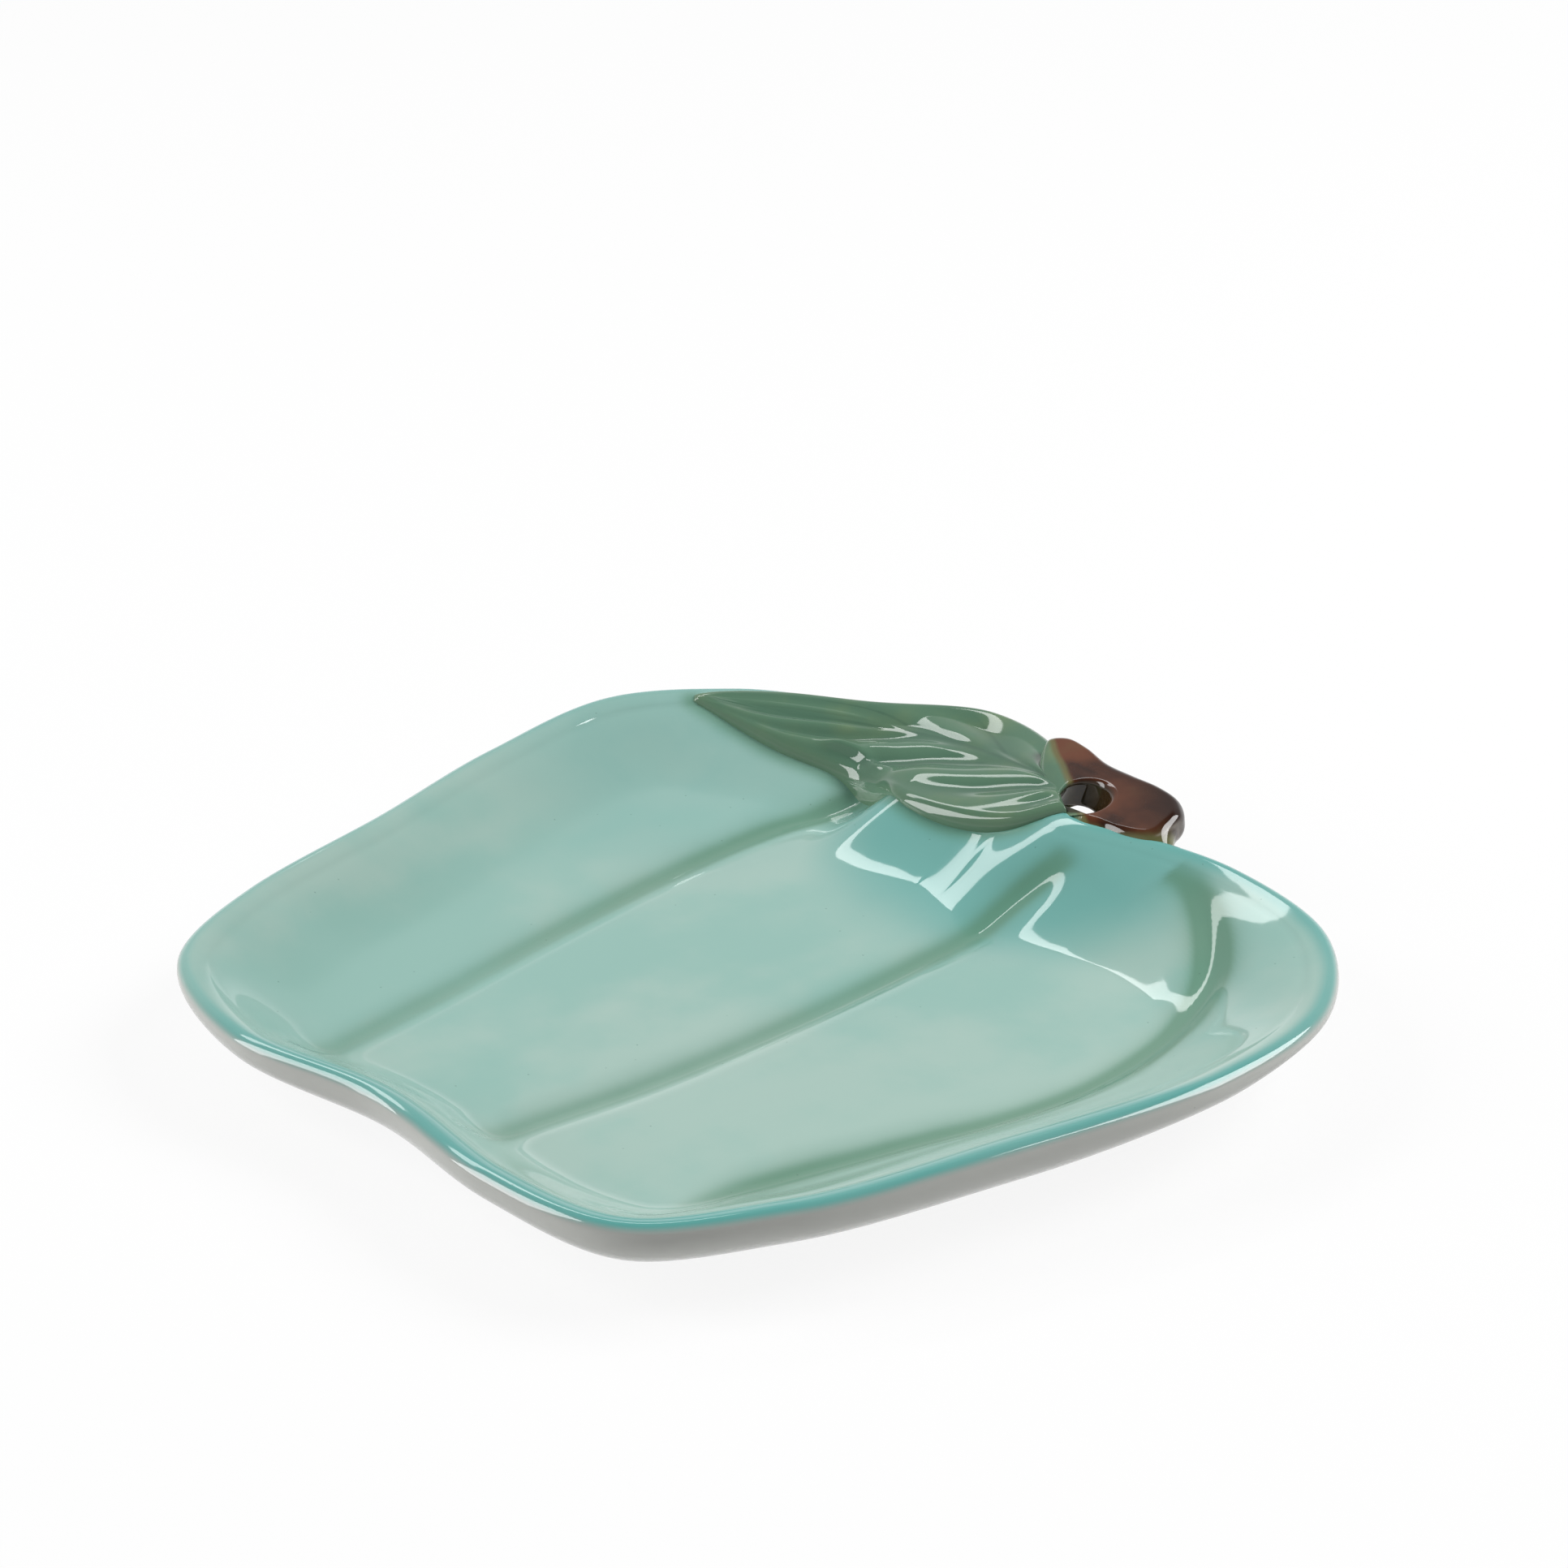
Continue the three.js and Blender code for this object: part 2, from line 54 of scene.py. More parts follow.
DISH_WIDTH = 208.6 * MM
DISH_LENGTH = 207.6 * MM
RIM_HEIGHT = 22 * MM
LIP_RADIUS = 2.8 * MM
FLOOR_HEIGHT = 9.2 * MM
BASE_HEIGHT = 3.4 * MM
WALL_WIDTH = 30 * MM
BELLY_WIDTH = 30 * MM
CONE_WIDTH = 36 * MM
SLOPE_POWER = 1.15
BOWL_POWER = 0.8
LIP_INSET = 7 * MM
CLIMB = 0.65

# Pillows between the grooves, and the valleys where they meet
PILLOW_DEPTH = 1.2 * MM
PILLOW_WIDTH = 26 * MM
VALLEY_DEPTH = 1.3 * MM
VALLEY_WIDTH = 8 * MM
VALLEY_ROUND = 1.4 * MM

# Swell of the middle lobes towards the stem, and bank of the left lobe towards its rim
SWELL_START = 46 * MM
SWELL_SLANT = 0.25
SWELL_BEND = 24.0
SWELL_SLOPE = 0.42
SWELL_HEIGHT = 12 * MM
SWELL_LEFT = -44 * MM
SWELL_LEFT_RUN = 12 * MM
SWELL_RIGHT = 60 * MM
SWELL_RIGHT_RUN = 20 * MM
SWELL_TOP = 90 * MM
SWELL_TOP_RUN = 18 * MM
BANK_START = -58 * MM
BANK_SLOPE = 0.06

# Rim from above, clockwise from the dimple under the stem: share of the half width, of the
# half length and of the rim's height, how full the belly is, how wide the inner wall is.
RIM = np.array([
    [0.077, 0.774, 1, 0.6, 1.05],
    [0.249, 0.812, 1, 0.4, 1.1],
    [0.459, 0.831, 1, 0.2, 1.1],
    [0.746, 0.752, 1, 0, 1.1],
    [0.945, 0.502, 1, 0, 1.1],
    [0.976, 0.178, 1, 0.55, 1.1],
    [0.874, -0.246, 0.99, 0.86, 1.05],
    [0.719, -0.69, 0.94, 0.86, 0.95],
    [0.524, -0.946, 0.9, 0.95, 0.85],
    [0.222, -0.992, 0.89, 0.8, 0.72],
    [-0.12, -0.948, 0.89, 1, 0.68],
    [-0.478, -0.992, 0.89, 0.78, 0.72],
    [-0.788, -0.875, 0.9, 0.6, 0.8],
    [-0.901, -0.613, 0.93, 0.5, 0.85],
    [-0.942, -0.264, 0.97, 0.42, 0.85],
    [-1.001, 0.115, 1, 0.45, 0.85],
    [-1.011, 0.471, 1, 0.4, 0.9],
    [-0.854, 0.707, 0.98, 0.4, 1],
    [-0.601, 0.881, 0.94, 0.4, 1],
    [-0.371, 1.021, 0.96, 0.4, 1],
    [-0.144, 0.975, 0.98, 0.5, 1],
    [-0.014, 0.827, 1, 0.6, 1.05],
])
HALF = np.array([DISH_WIDTH / 2, DISH_LENGTH / 2])

# Grooves from the stem end to the blossom end in shares of the half width and length, where
# they meet the rim, how much of their run fades out at either end, and how full they pool.
GROOVES = [
    [[-0.45, 0.692], [-0.498, 0.462], [-0.507, 0.144],
     [-0.488, -0.212], [-0.464, -0.5], [-0.45, -0.74]],
    [[0.128, 0.635], [0.107, 0.538], [0.109, 0.327],
     [0.1, -0.048], [0.067, -0.433], [0.019, -0.692]],
    [[0.411, 0.745], [0.526, 0.668], [0.612, 0.558], [0.66, 0.433], [0.679, 0.288],
     [0.679, 0.115], [0.632, -0.077], [0.555, -0.279], [0.455, -0.615]],
]
GROOVE_ENDS = [(18.4, 10.9), (22.35, 9.7), (23.4, 8)]
GROOVE_FADES = [(0.1, 0.13), (0.1, 0.12), (0.03, 0.14)]
GROOVE_POOLS = [0.8, 0.85, 1.3]
GROOVE_STEPS = 240
POOL_WIDTH = 2.5 * MM
WIDE_POOL = 0.3
HEAD_POOL = 1.5
TAIL_POOL = 0.75
POOL_RUN = 1 / 1.4

# Near margin of the leaf, from the stem to its tip, where the glaze pools against it and a painted
# shade lies under its edge
NEAR_MARGIN = np.array([[0.062, 0.757], [-0.01, 0.684], [-0.124, 0.636], [-0.268, 0.626],
                        [-0.392, 0.662], [-0.498, 0.678], [-0.66, 0.636], [-0.872, 0.6]])
SHORE_POOL_AND_SHADE = 0.8
SHORE_WIDTH = 3.2 * MM
SHORE_STEPS = 80
SHORE_FADE = 10


def smooth(share):
    """Three times the square less twice the cube, from 0 to 1."""
    share = np.clip(share, 0, 1)
    return share * share * (3 - 2 * share)


def mix(low, high, share):
    """Low plus a share of the way to high."""
    return low + (high - low) * share


def round_drop(share):
    """Drop of a quarter circle below its top, as a share of its radius."""
    return 1 - np.sqrt(1 - np.clip(share, 0, 1) ** 2)


def curve(points, places, closed=False):
    """Centripetal curve: between two points runs a cubic whose end slopes blend the
    neighbouring chords, each weighted by the square root of its length."""
    count = len(points)
    if closed:
        cell = np.floor(places).astype(int)
        near = [points[(cell + k) % count] for k in (-1, 0, 1, 2)]
    else:
        cell = np.clip(np.floor(places).astype(int), 0, count - 2)
        padded = np.vstack([2 * points[0] - points[1], points, 2 * points[-1] - points[-2]])
        near = [padded[cell + k] for k in range(4)]
    share = (places - cell)[:, None]
    gap = [np.linalg.norm(b - a, axis=1)[:, None] ** 0.5 for a, b in zip(near, near[1:])]
    chord = [b - a for a, b in zip(near, near[1:])]
    start = chord[0] / gap[0] - (near[2] - near[0]) / (gap[0] + gap[1]) + chord[1] / gap[1]
    end = chord[1] / gap[1] - (near[3] - near[1]) / (gap[1] + gap[2]) + chord[2] / gap[2]
    start, end = start * gap[1], end * gap[1]
    bend = (3 * chord[1] - 2 * start - end) * share**2
    twist = (start + end - 2 * chord[1]) * share**3
    return near[1] + start * share + bend + twist


def nearest(line, x, y):
    """Distance from each x and y to a line of short chords, and how many chords along it
    the nearest spot lies: each spot is projected on every chord and the least is kept."""
    start = line[:-1].astype(np.float32)
    step = np.diff(line, axis=0).astype(np.float32)
    length = (step**2).sum(1)
    distance = np.empty(x.size)
    along = np.empty(x.size)
    batch = 4000
    for spots in np.array_split(np.arange(x.size), x.size // batch + 1):
        dx = x.ravel()[spots, None].astype(np.float32) - start[:, 0]
        dy = y.ravel()[spots, None].astype(np.float32) - start[:, 1]
        share = np.clip((dx * step[:, 0] + dy * step[:, 1]) / length, 0, 1)
        away = (dx - share * step[:, 0]) ** 2 + (dy - share * step[:, 1]) ** 2
        best = away.argmin(1)
        row = np.arange(len(spots))
        distance[spots] = np.sqrt(away[row, best])
        along[spots] = best + share[row, best]
    return distance.reshape(x.shape), along.reshape(x.shape)


RIM_STEPS = 48
rim_places = np.arange(len(RIM) * RIM_STEPS + 1) / RIM_STEPS
rim_line = curve(RIM[:, :2] * HALF, rim_places, closed=True)

# The rim's own zero lies here in the frame
middle = np.mean(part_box("dish_body"), 0)[:2] - (rim_line.min(0) + rim_line.max(0)) / 2
rim_line = rim_line + middle


def rim_point(places, inset):
    """Point of the rim at a place, moved inwards square to the rim, whose run is that
    between two points a hair ahead and behind."""
    hair = 0.01
    ahead, behind = (curve(RIM[:, :2] * HALF, places + k, closed=True) for k in (hair, -hair))
    along = ahead - behind
    along /= np.linalg.norm(along, axis=1)[:, None]
    inwards = np.stack([along[:, 1], -along[:, 0]], 1)
    here = curve(RIM[:, :2] * HALF, places, closed=True) + middle
    return here + inwards * np.reshape(inset, (-1, 1))


def rim_section(places):
    """Height of the crest, fullness of the belly and width of the wall at places, each
    mixed smoothly between the table's rows."""
    cell = np.floor(places).astype(int)
    share = smooth(places - cell)
    low, high = RIM[cell % len(RIM)], RIM[(cell + 1) % len(RIM)]
    crest, full, wall = (mix(low[..., k], high[..., k], share) for k in (2, 3, 4))
    return crest * RIM_HEIGHT, full, wall * WALL_WIDTH


def groove_line(index):
    """A groove's points, with a point of the rim's inner edge at either end."""
    head, tail = (rim_point(np.array([place]), LIP_INSET) for place in GROOVE_ENDS[index])
    points = np.vstack([head, np.array(GROOVES[index]) * HALF + middle, tail])
    return curve(points, np.linspace(0, len(points) - 1, GROOVE_STEPS))


groove_lines = [groove_line(index) for index in range(len(GROOVES))]


def groove_depth(x, y):
    """How far the grooves sink the floor, two pillows meeting in a narrow rounded valley,
    and how much glaze pools there: a narrow and a wide bell curve across the groove."""
    drop, valley_share = np.zeros(x.shape), np.zeros(x.shape)
    for line, (head_fade, tail_fade), share in zip(groove_lines, GROOVE_FADES, GROOVE_POOLS):
        away, along = nearest(line, x, y)
        along = along / (len(line) - 1)
        fade = smooth(along / head_fade) * smooth((1 - along) / tail_fade)
        away = np.sqrt(away**2 + VALLEY_ROUND**2) - VALLEY_ROUND
        pillow = np.maximum(0, 1 - away / PILLOW_WIDTH) ** 2
        valley = np.maximum(0, 1 - away / VALLEY_WIDTH) ** 2
        drop = np.maximum(drop, fade * (PILLOW_DEPTH * pillow + VALLEY_DEPTH * valley))
        across = away / POOL_WIDTH
        pooled = (1 - WIDE_POOL) * np.exp(-(across**2)) + WIDE_POOL * np.exp(-((across / 3) ** 2))
        pooled = share * pooled * mix(HEAD_POOL, TAIL_POOL, smooth(along / POOL_RUN))
        valley_share = np.maximum(valley_share, fade * pooled)
    return drop, valley_share


def swell(x, y):
    """Rise of the middle lobes towards the stem: half their bend times the square of the
    way past a slanted start until they are as steep as their slope, levelled off by a
    fourth power below their height. A straight bank lifts the left lobe to its rim."""
    x, y = x - middle[0], y - middle[1]
    lobe = smooth((x - SWELL_LEFT) / SWELL_LEFT_RUN) * smooth((SWELL_RIGHT - x) / SWELL_RIGHT_RUN)
    lobe = lobe * smooth((SWELL_TOP - y) / SWELL_TOP_RUN)
    past = np.maximum(0, y - SWELL_START - SWELL_SLANT * x)
    bent = np.minimum(past, SWELL_SLOPE / SWELL_BEND)
    rise = SWELL_BEND / 2 * bent**2 + SWELL_SLOPE * (past - bent)
    rise = rise / (1 + (rise / SWELL_HEIGHT) ** 4) ** 0.25
    return rise * lobe + BANK_SLOPE * np.maximum(0, BANK_START - x)


def bowl_height(x, y):
    """Eating surface without grooves: over the round of the lip, down the wall to the floor.
    The wall falls by a power of the way down where the rim is lean and by a smooth step of
    a power where it is full. Wall and swell blend by the cube root of their cubes' sum."""
    inset, place = nearest(rim_line, x, y)
    crest, full, wall = rim_section(place / RIM_STEPS)
    reach = np.clip((inset - LIP_RADIUS) / wall, 0, 1)
    fall = mix(reach**SLOPE_POWER, smooth(reach**BOWL_POWER), full)
    lip = LIP_RADIUS * round_drop(1 - inset / LIP_RADIUS)
    climb = smooth((inset - LIP_RADIUS) / (wall * CLIMB))
    above = np.cbrt(((crest - FLOOR_HEIGHT) * (1 - fall)) ** 3 + (swell(x, y) * climb) ** 3)
    return FLOOR_HEIGHT + above - lip, climb


def top_height(x, y):
    """Eating surface less its grooves, which fade out up the wall."""
    bowl, climb = bowl_height(x, y)
    return bowl - groove_depth(x, y)[0] * climb


def under_height(x, y):
    """Underside: from the edge of the lip down the belly to the flat base, by a power of
    the way in where the belly is lean and by a quarter circle where it is full."""
    inset, place = nearest(rim_line, x, y)
    crest, full, _ = rim_section(place / RIM_STEPS)
    share = np.maximum(0, 1 - inset / mix(CONE_WIDTH, BELLY_WIDTH, full))
    rise = mix(share**SLOPE_POWER, round_drop(share), full)
    return mix(BASE_HEIGHT, crest - LIP_RADIUS, rise)


def relaxed(rows, passes):
    """Each inner row of a grid drawn halfway to the mean of its four neighbours."""
    for _ in range(passes):
        around = np.roll(rows, 1, 1)[1:-1] + np.roll(rows, -1, 1)[1:-1]
        rows[1:-1] = rows[1:-1] / 2 + (around + rows[:-2] + rows[2:]) / 8
    return rows


def piece(name, points, faces, shares=None):
    """Mesh object with smooth faces, and a point attribute for each named array."""
    mesh = bpy.data.meshes.new(name)
    mesh.from_pydata(points.tolist(), [], faces)
    mesh.polygons.foreach_set("use_smooth", np.ones(len(mesh.polygons), bool))
    for title, values in (shares or {}).items():
        mesh.attributes.new(title, "FLOAT", "POINT").data.foreach_set("value", values.ravel())
    made = bpy.data.objects.new(name, mesh)
    bpy.context.collection.objects.link(made)
    return made


def band_faces(rows, columns, wrap_rows=False):
    """Four-cornered faces of a grid that is closed across its columns."""
    row, column = np.meshgrid(np.arange(rows - (not wrap_rows)), np.arange(columns), indexing="ij")
    after, beside = (row + 1) % rows, (column + 1) % columns
    corners = [row * columns + column, row * columns + beside,
               after * columns + beside, after * columns + column]
    return np.stack([c.ravel() for c in corners], 1).tolist()


def cap_faces(ring, pole, flip):
    """Three-cornered faces from a ring of vertices to a pole."""
    beside = np.roll(ring, -1)
    corners = [beside, ring] if flip else [ring, beside]
    return np.stack([*corners, np.full(len(ring), pole)], 1).tolist()


DISH_COLUMNS = 640
FLOOR_ROWS = 92
WALL_ROWS = 9
LIP_ROWS = 9
BELLY_ROWS = 38
BELLY_REACH = 0.45
BELLY_CROWDING = 1.5
FLOOR_CENTRE = np.array([0, -2 * MM])
BASE_SHARES = np.array([0.4, 0.8])
FLOOR_PASSES = 14
EDGE_PASSES = 8
EDGE_ABOVE = 4
EDGE_BELOW = 12

turn = np.cumsum(np.r_[0, np.linalg.norm(np.diff(rim_line, axis=0), axis=1)])
dish_places = np.interp(np.arange(DISH_COLUMNS) / DISH_COLUMNS * turn[-1], turn, rim_places)
dish_crest = rim_section(dish_places)[0]

# From the middle of the floor outwards, then up the wall to the crest
floor_centre = middle + FLOOR_CENTRE
inner_ring = rim_point(dish_places, LIP_INSET)
floor_share = np.linspace(0, 1, FLOOR_ROWS + 1)[1:, None, None]
floor_plan = mix(floor_centre, inner_ring, floor_share)
wall_plan = np.array([rim_point(dish_places, mix(LIP_INSET, LIP_RADIUS, k / WALL_ROWS))
                      for k in range(1, WALL_ROWS + 1)])
top_plan = np.concatenate([floor_plan, wall_plan])
bowl, climb = bowl_height(top_plan[..., 0], top_plan[..., 1])
drop, valley_share = groove_depth(top_plan[..., 0], top_plan[..., 1])
bowl = relaxed(bowl, FLOOR_PASSES)
top_rows = np.dstack([top_plan, bowl - drop * climb])

# Round the lip, and under it down the belly to the flat base
lip_turn = np.linspace(0, np.pi / 2, LIP_ROWS + 1)[1:]
lip_rows = np.array([
    np.column_stack([rim_point(dish_places, LIP_RADIUS * (1 - np.sin(t))),
                     dish_crest - LIP_RADIUS * (1 - np.cos(t))]) for t in lip_turn])
edge = rim_point(dish_places, 0.0)
belly_share = (np.arange(1, BELLY_ROWS + 1) / BELLY_ROWS)[:, None, None] ** BELLY_CROWDING
belly_plan = mix(edge, middle, BELLY_REACH * belly_share)
belly_rows = np.dstack([belly_plan, under_height(belly_plan[..., 0], belly_plan[..., 1])])
base_plan = mix(belly_plan[-1], middle, BASE_SHARES[:, None, None])
base_rows = np.dstack([base_plan, np.full(base_plan.shape[:2], BASE_HEIGHT)])

dish_rows = np.concatenate([top_rows, lip_rows, belly_rows, base_rows])
first_lip = len(top_rows)
first_belly = first_lip + len(lip_rows)
round_over = slice(first_belly - EDGE_ABOVE, first_belly + EDGE_BELOW)
dish_rows[round_over] = relaxed(dish_rows[round_over].copy(), EDGE_PASSES)

# How deep the glaze stands in the grooves, and a green band against the leaf that is partly glaze
# pooling and partly painted shade
pool_and_shade = np.zeros(dish_rows.shape[:2])
pool_and_shade[:first_lip] = valley_share * np.sqrt(climb)
# Partly glaze pooling and partly painted shade: a green band on the dish under the leaf's near
# margin
shore = curve(NEAR_MARGIN * HALF + middle, np.linspace(0, len(NEAR_MARGIN) - 1, SHORE_STEPS))
shore_away, shore_along = nearest(shore, top_plan[..., 0], top_plan[..., 1])
shore_pool_and_shade = SHORE_POOL_AND_SHADE * np.exp(-((shore_away / SHORE_WIDTH) ** 2))
shore_pool_and_shade = shore_pool_and_shade * smooth(shore_along / SHORE_FADE)
pool_and_shade[:first_lip] = np.maximum(pool_and_shade[:first_lip], shore_pool_and_shade)

# How far a spot lies over the edge or inside it, as a share of the band. The teal band is
# narrower on the left and at the far right, where the spots count as farther inside.
BAND = 40 * MM
LEFT_NARROWING = 0.08
RIGHT_NARROWING = 0.05
over = np.zeros(dish_rows.shape[:2])
steps = np.linalg.norm(np.diff(dish_rows, axis=0), axis=2)
over[first_lip:] = np.cumsum(steps[first_lip - 1:], axis=0) / BAND
inside = np.zeros(dish_rows.shape[:2])
inside[:first_lip] = np.cumsum(steps[:first_lip][::-1], axis=0)[::-1] / BAND
plan_x, plan_y = dish_rows[..., 0] - middle[0], dish_rows[..., 1] - middle[1]
on_left = np.maximum(smooth((plan_y - plan_x) / (90 * MM)),
                     smooth((-20 * MM - plan_x) / (60 * MM)))
far_right = smooth((plan_y + 10 * MM) / (30 * MM)) * smooth((plan_x - 60 * MM) / (30 * MM))
inside += LEFT_NARROWING * on_left + RIGHT_NARROWING * far_right


def closeness(place, reach, run):
    """Full round a place on the plan and none beyond its reach, smooth over a run."""
    away = np.linalg.norm(dish_rows[..., :2] - middle - np.array(place) * MM, axis=2)
    return smooth((reach - away) / run)


# The glaze is deepest at the stem, and somewhat deeper at the left end
LEFT_DEPTH = 0.45
stem_end = closeness([-2, 84], 66 * MM, 36 * MM)
stem_end = np.maximum(stem_end, LEFT_DEPTH * closeness([-82, 50], 70 * MM, 50 * MM))

dish_points = dish_rows.reshape(-1, 3)
centre_top = np.r_[floor_centre, top_height(floor_centre[:1], floor_centre[1:])]
dish_points = np.vstack([dish_points, centre_top, np.r_[middle, BASE_HEIGHT]])
last = len(dish_rows) * DISH_COLUMNS
dish_faces = band_faces(len(dish_rows), DISH_COLUMNS)
dish_faces += cap_faces(np.arange(DISH_COLUMNS), last, True)
dish_faces += cap_faces(np.arange(last - DISH_COLUMNS, last), last + 1, False)
dish_shares = {"pool_and_shade": np.r_[pool_and_shade.ravel(), 0, 0], "over": np.r_[over.ravel(), 0, 1],
               "inside": np.r_[inside.ravel(), 1, 0], "stem_end": np.r_[stem_end.ravel(), 0, 0]}
dish = piece("dish", dish_points, dish_faces, dish_shares)


class Value:
    """A shader socket whose arithmetic adds the Math nodes for it."""

    def __init__(self, nodes, socket):
        self.nodes, self.socket = nodes, socket

    def math(self, operation, one, other):
        """Math node on two sockets or numbers."""
        return self.nodes.add("ShaderNodeMath", {"operation": operation}, (one, other))

    def __add__(self, other):
        return self.math("ADD", self, other)

    def __sub__(self, other):
        return self.math("SUBTRACT", self, other)

    def __rsub__(self, other):
        return self.math("SUBTRACT", other, self)

    def __mul__(self, other):
        return self.math("MULTIPLY", self, other)

    __radd__ = __add__
    __rmul__ = __mul__

    def step(self, low, high):
        """0 below low, 1 above high, smooth between."""
        return self.nodes.add("ShaderNodeMapRange", {"interpolation_type": "SMOOTHSTEP"},
                              {"Value": self, "From Min": low, "From Max": high}, "Result")


class Nodes:
    """A node tree and the one way in which nodes are added to it."""

    def __init__(self, tree):
        self.tree = tree

    def set(self, socket, value):
        """Link a socket to a value, or write a number, vector or colour on it."""
        if isinstance(value, Value):
            self.tree.links.new(value.socket, socket)
        elif isinstance(value, tuple) and socket.type == "RGBA":
            socket.default_value = (*value[:3], 1)
        else:
            socket.default_value = value

    def add(self, kind, settings, values, output=0):
        """Node of a type: its settings first, then the values or links of its sockets."""
        node = self.tree.nodes.new(kind)
        for title, setting in settings.items():
            setattr(node, title, setting)
        pairs = values.items() if isinstance(values, dict) else enumerate(values)
        for title, value in pairs:
            self.set(node.inputs[title], value)
        return Value(self, node.outputs[output])


class Finish(Nodes):
    """A material with a Principled shader, and what its nodes read."""

    def __init__(self, name, roughness):
        self.material = bpy.data.materials.new(name)
        self.material.use_nodes = True
        super().__init__(self.material.node_tree)
        self.shader = self.tree.nodes["Principled BSDF"]
        self.shader.inputs["Roughness"].default_value = roughness

    def share(self, title):
        """A piece's own point attribute."""
        return self.add("ShaderNodeAttribute", {"attribute_name": title}, {}, "Fac")

    def place(self):
        """Place on the piece in metres."""
        return self.add("ShaderNodeTexCoord", {}, {}, "Object")

    def stretched(self, scale):
        """Place on the piece times a scale along each axis."""
        return self.add("ShaderNodeMapping", {}, {"Vector": self.place(), "Scale": scale})

    def noise(self, scale, detail, vector=None):
        """Soft cloud from 0 to 1, with so many spots to the metre."""
        values = {"Vector": vector or self.place(), "Scale": scale, "Detail": detail}
        return self.add("ShaderNodeTexNoise", {}, values, "Fac")

    def blend(self, share, low, high):
        """Colour between two colours. Sockets 6, 7 and 2 are the Mix node's colour ones."""
        values = {"Factor": share, 6: low, 7: high}
        return self.add("ShaderNodeMix", {"data_type": "RGBA"}, values, 2)

    def bump(self, strength, distance, height):
        """Fine unevenness in the shader's normal."""
        values = {"Strength": strength, "Distance": distance, "Height": height}
        self.set(self.shader.inputs["Normal"], self.add("ShaderNodeBump", {}, values))

    def wear(self, made):
        """Give the piece this material alone."""
        made.data.materials.clear()
        made.data.materials.append(self.material)


def colour(red, green, blue):
    """Linear colour of a red, green and blue as seen on a screen, from 0 to 255."""
    return tuple(((v / 255 + 0.055) / 1.055) ** 2.4 for v in (red, green, blue))


AQUA = colour(150, 191, 181)
AQUA_MILK = colour(169, 198, 188)
AQUA_DEEP = colour(117, 175, 168)
POOL_GREEN = colour(96, 141, 116)
EDGE_TEAL = colour(97, 169, 163)
# Clear glaze over white clay, toned down to grey as painted shade of the underside
CLEAR_GLAZE_SHADED = colour(183, 185, 180)
PINHOLE = colour(84, 112, 100)
GLAZE_ROUGHNESS = 0.05
CLOUD_SCALE = 22.0
CLOUD_STRETCH = (1.0, 0.55, 1.0)
MOTTLE_SCALE = 75.0
PINHOLE_SCALE = 190.0
RIPPLE_SCALE = 90.0
RIPPLE_STRENGTH = 0.06
RIPPLE_DEPTH = 0.4 * MM

glaze = Finish("aqua_glaze", GLAZE_ROUGHNESS)
cloud = glaze.noise(CLOUD_SCALE, 3.0, glaze.stretched(CLOUD_STRETCH))
mottle = glaze.noise(MOTTLE_SCALE, 5.0)

# Thin and milky in clouds, deep at the stem, green where it pools and as painted shade along the
# leaf's near margin
body_colour = glaze.blend((cloud + (mottle - 0.5) * 0.3).step(0.36, 0.64), AQUA, AQUA_MILK)
deep = glaze.share("stem_end") * (0.7 + cloud * 0.5) + (mottle - 0.5) * 0.3
body_colour = glaze.blend(deep.step(0.0, 1.0), body_colour, AQUA_DEEP)
green = (glaze.share("pool_and_shade") + (mottle - 0.5) * 0.2).step(0.05, 1.0)
body_colour = glaze.blend(green * 0.8, body_colour, POOL_GREEN)

# Teal along the lip, and below it the clear glaze, its grey partly painted shade of the underside
teal = (0.12 - glaze.share("inside") + (cloud - 0.5) * 0.08).step(0.0, 0.09)
body_colour = glaze.blend(teal * (cloud + 0.3), body_colour, EDGE_TEAL)
clear = (glaze.share("over") + (cloud - 0.5) * 0.06).step(0.035, 0.085)
body_colour = glaze.blend(clear, body_colour, CLEAR_GLAZE_SHADED)
cells = {"Vector": glaze.place(), "Scale": PINHOLE_SCALE}
pinhole = 1 - glaze.add("ShaderNodeTexVoronoi", {}, cells, "Distance").step(0.02, 0.05)
body_colour = glaze.blend(pinhole * 0.4, body_colour, PINHOLE)
glaze.set(glaze.shader.inputs["Base Color"], body_colour)
glaze.bump(RIPPLE_STRENGTH, RIPPLE_DEPTH, glaze.noise(RIPPLE_SCALE, 2.0))
glaze.wear(dish)

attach(dish, "root")
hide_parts("dish_body")


# ---------------------------------------------------------------------------
# Foot ring
# A coil of the same white clay, luted under the base in the plate's own shape.
# It is wiped clean of glaze, so the plate stands on bare fired clay.
# ---------------------------------------------------------------------------
FOOT_WIDTH = 122 * MM
FOOT_LENGTH = 116 * MM
FOOT_SETBACK = 6 * MM
FOOT_THICKNESS = 4.6 * MM
FOOT_ROUNDING = 1.3 * MM
FOOT_TOP = BASE_HEIGHT + 0.6 * MM
FOOT_COLUMNS = 360
FOOT_ARC_STEPS = 7
# Shares of the half width and half length, clockwise from the stem's side
FOOT_RIM = np.array([[0, 0.96], [0.72, 0.9], [1, 0.36], [0.86, -0.4], [0.5, -0.98],
                     [-0.1, -0.95], [-0.72, -0.93], [-0.94, -0.35], [-1, 0.36], [-0.68, 0.95]])

foot_half = np.array([FOOT_WIDTH / 2, FOOT_LENGTH / 2])
foot_places = np.arange(FOOT_COLUMNS) / FOOT_COLUMNS * len(FOOT_RIM)
foot_line = curve(FOOT_RIM * foot_half, foot_places, closed=True)
foot_along = np.roll(foot_line, -1, 0) - np.roll(foot_line, 1, 0)
foot_along /= np.linalg.norm(foot_along, axis=1)[:, None]
foot_inwards = np.stack([foot_along[:, 1], -foot_along[:, 0]], 1)

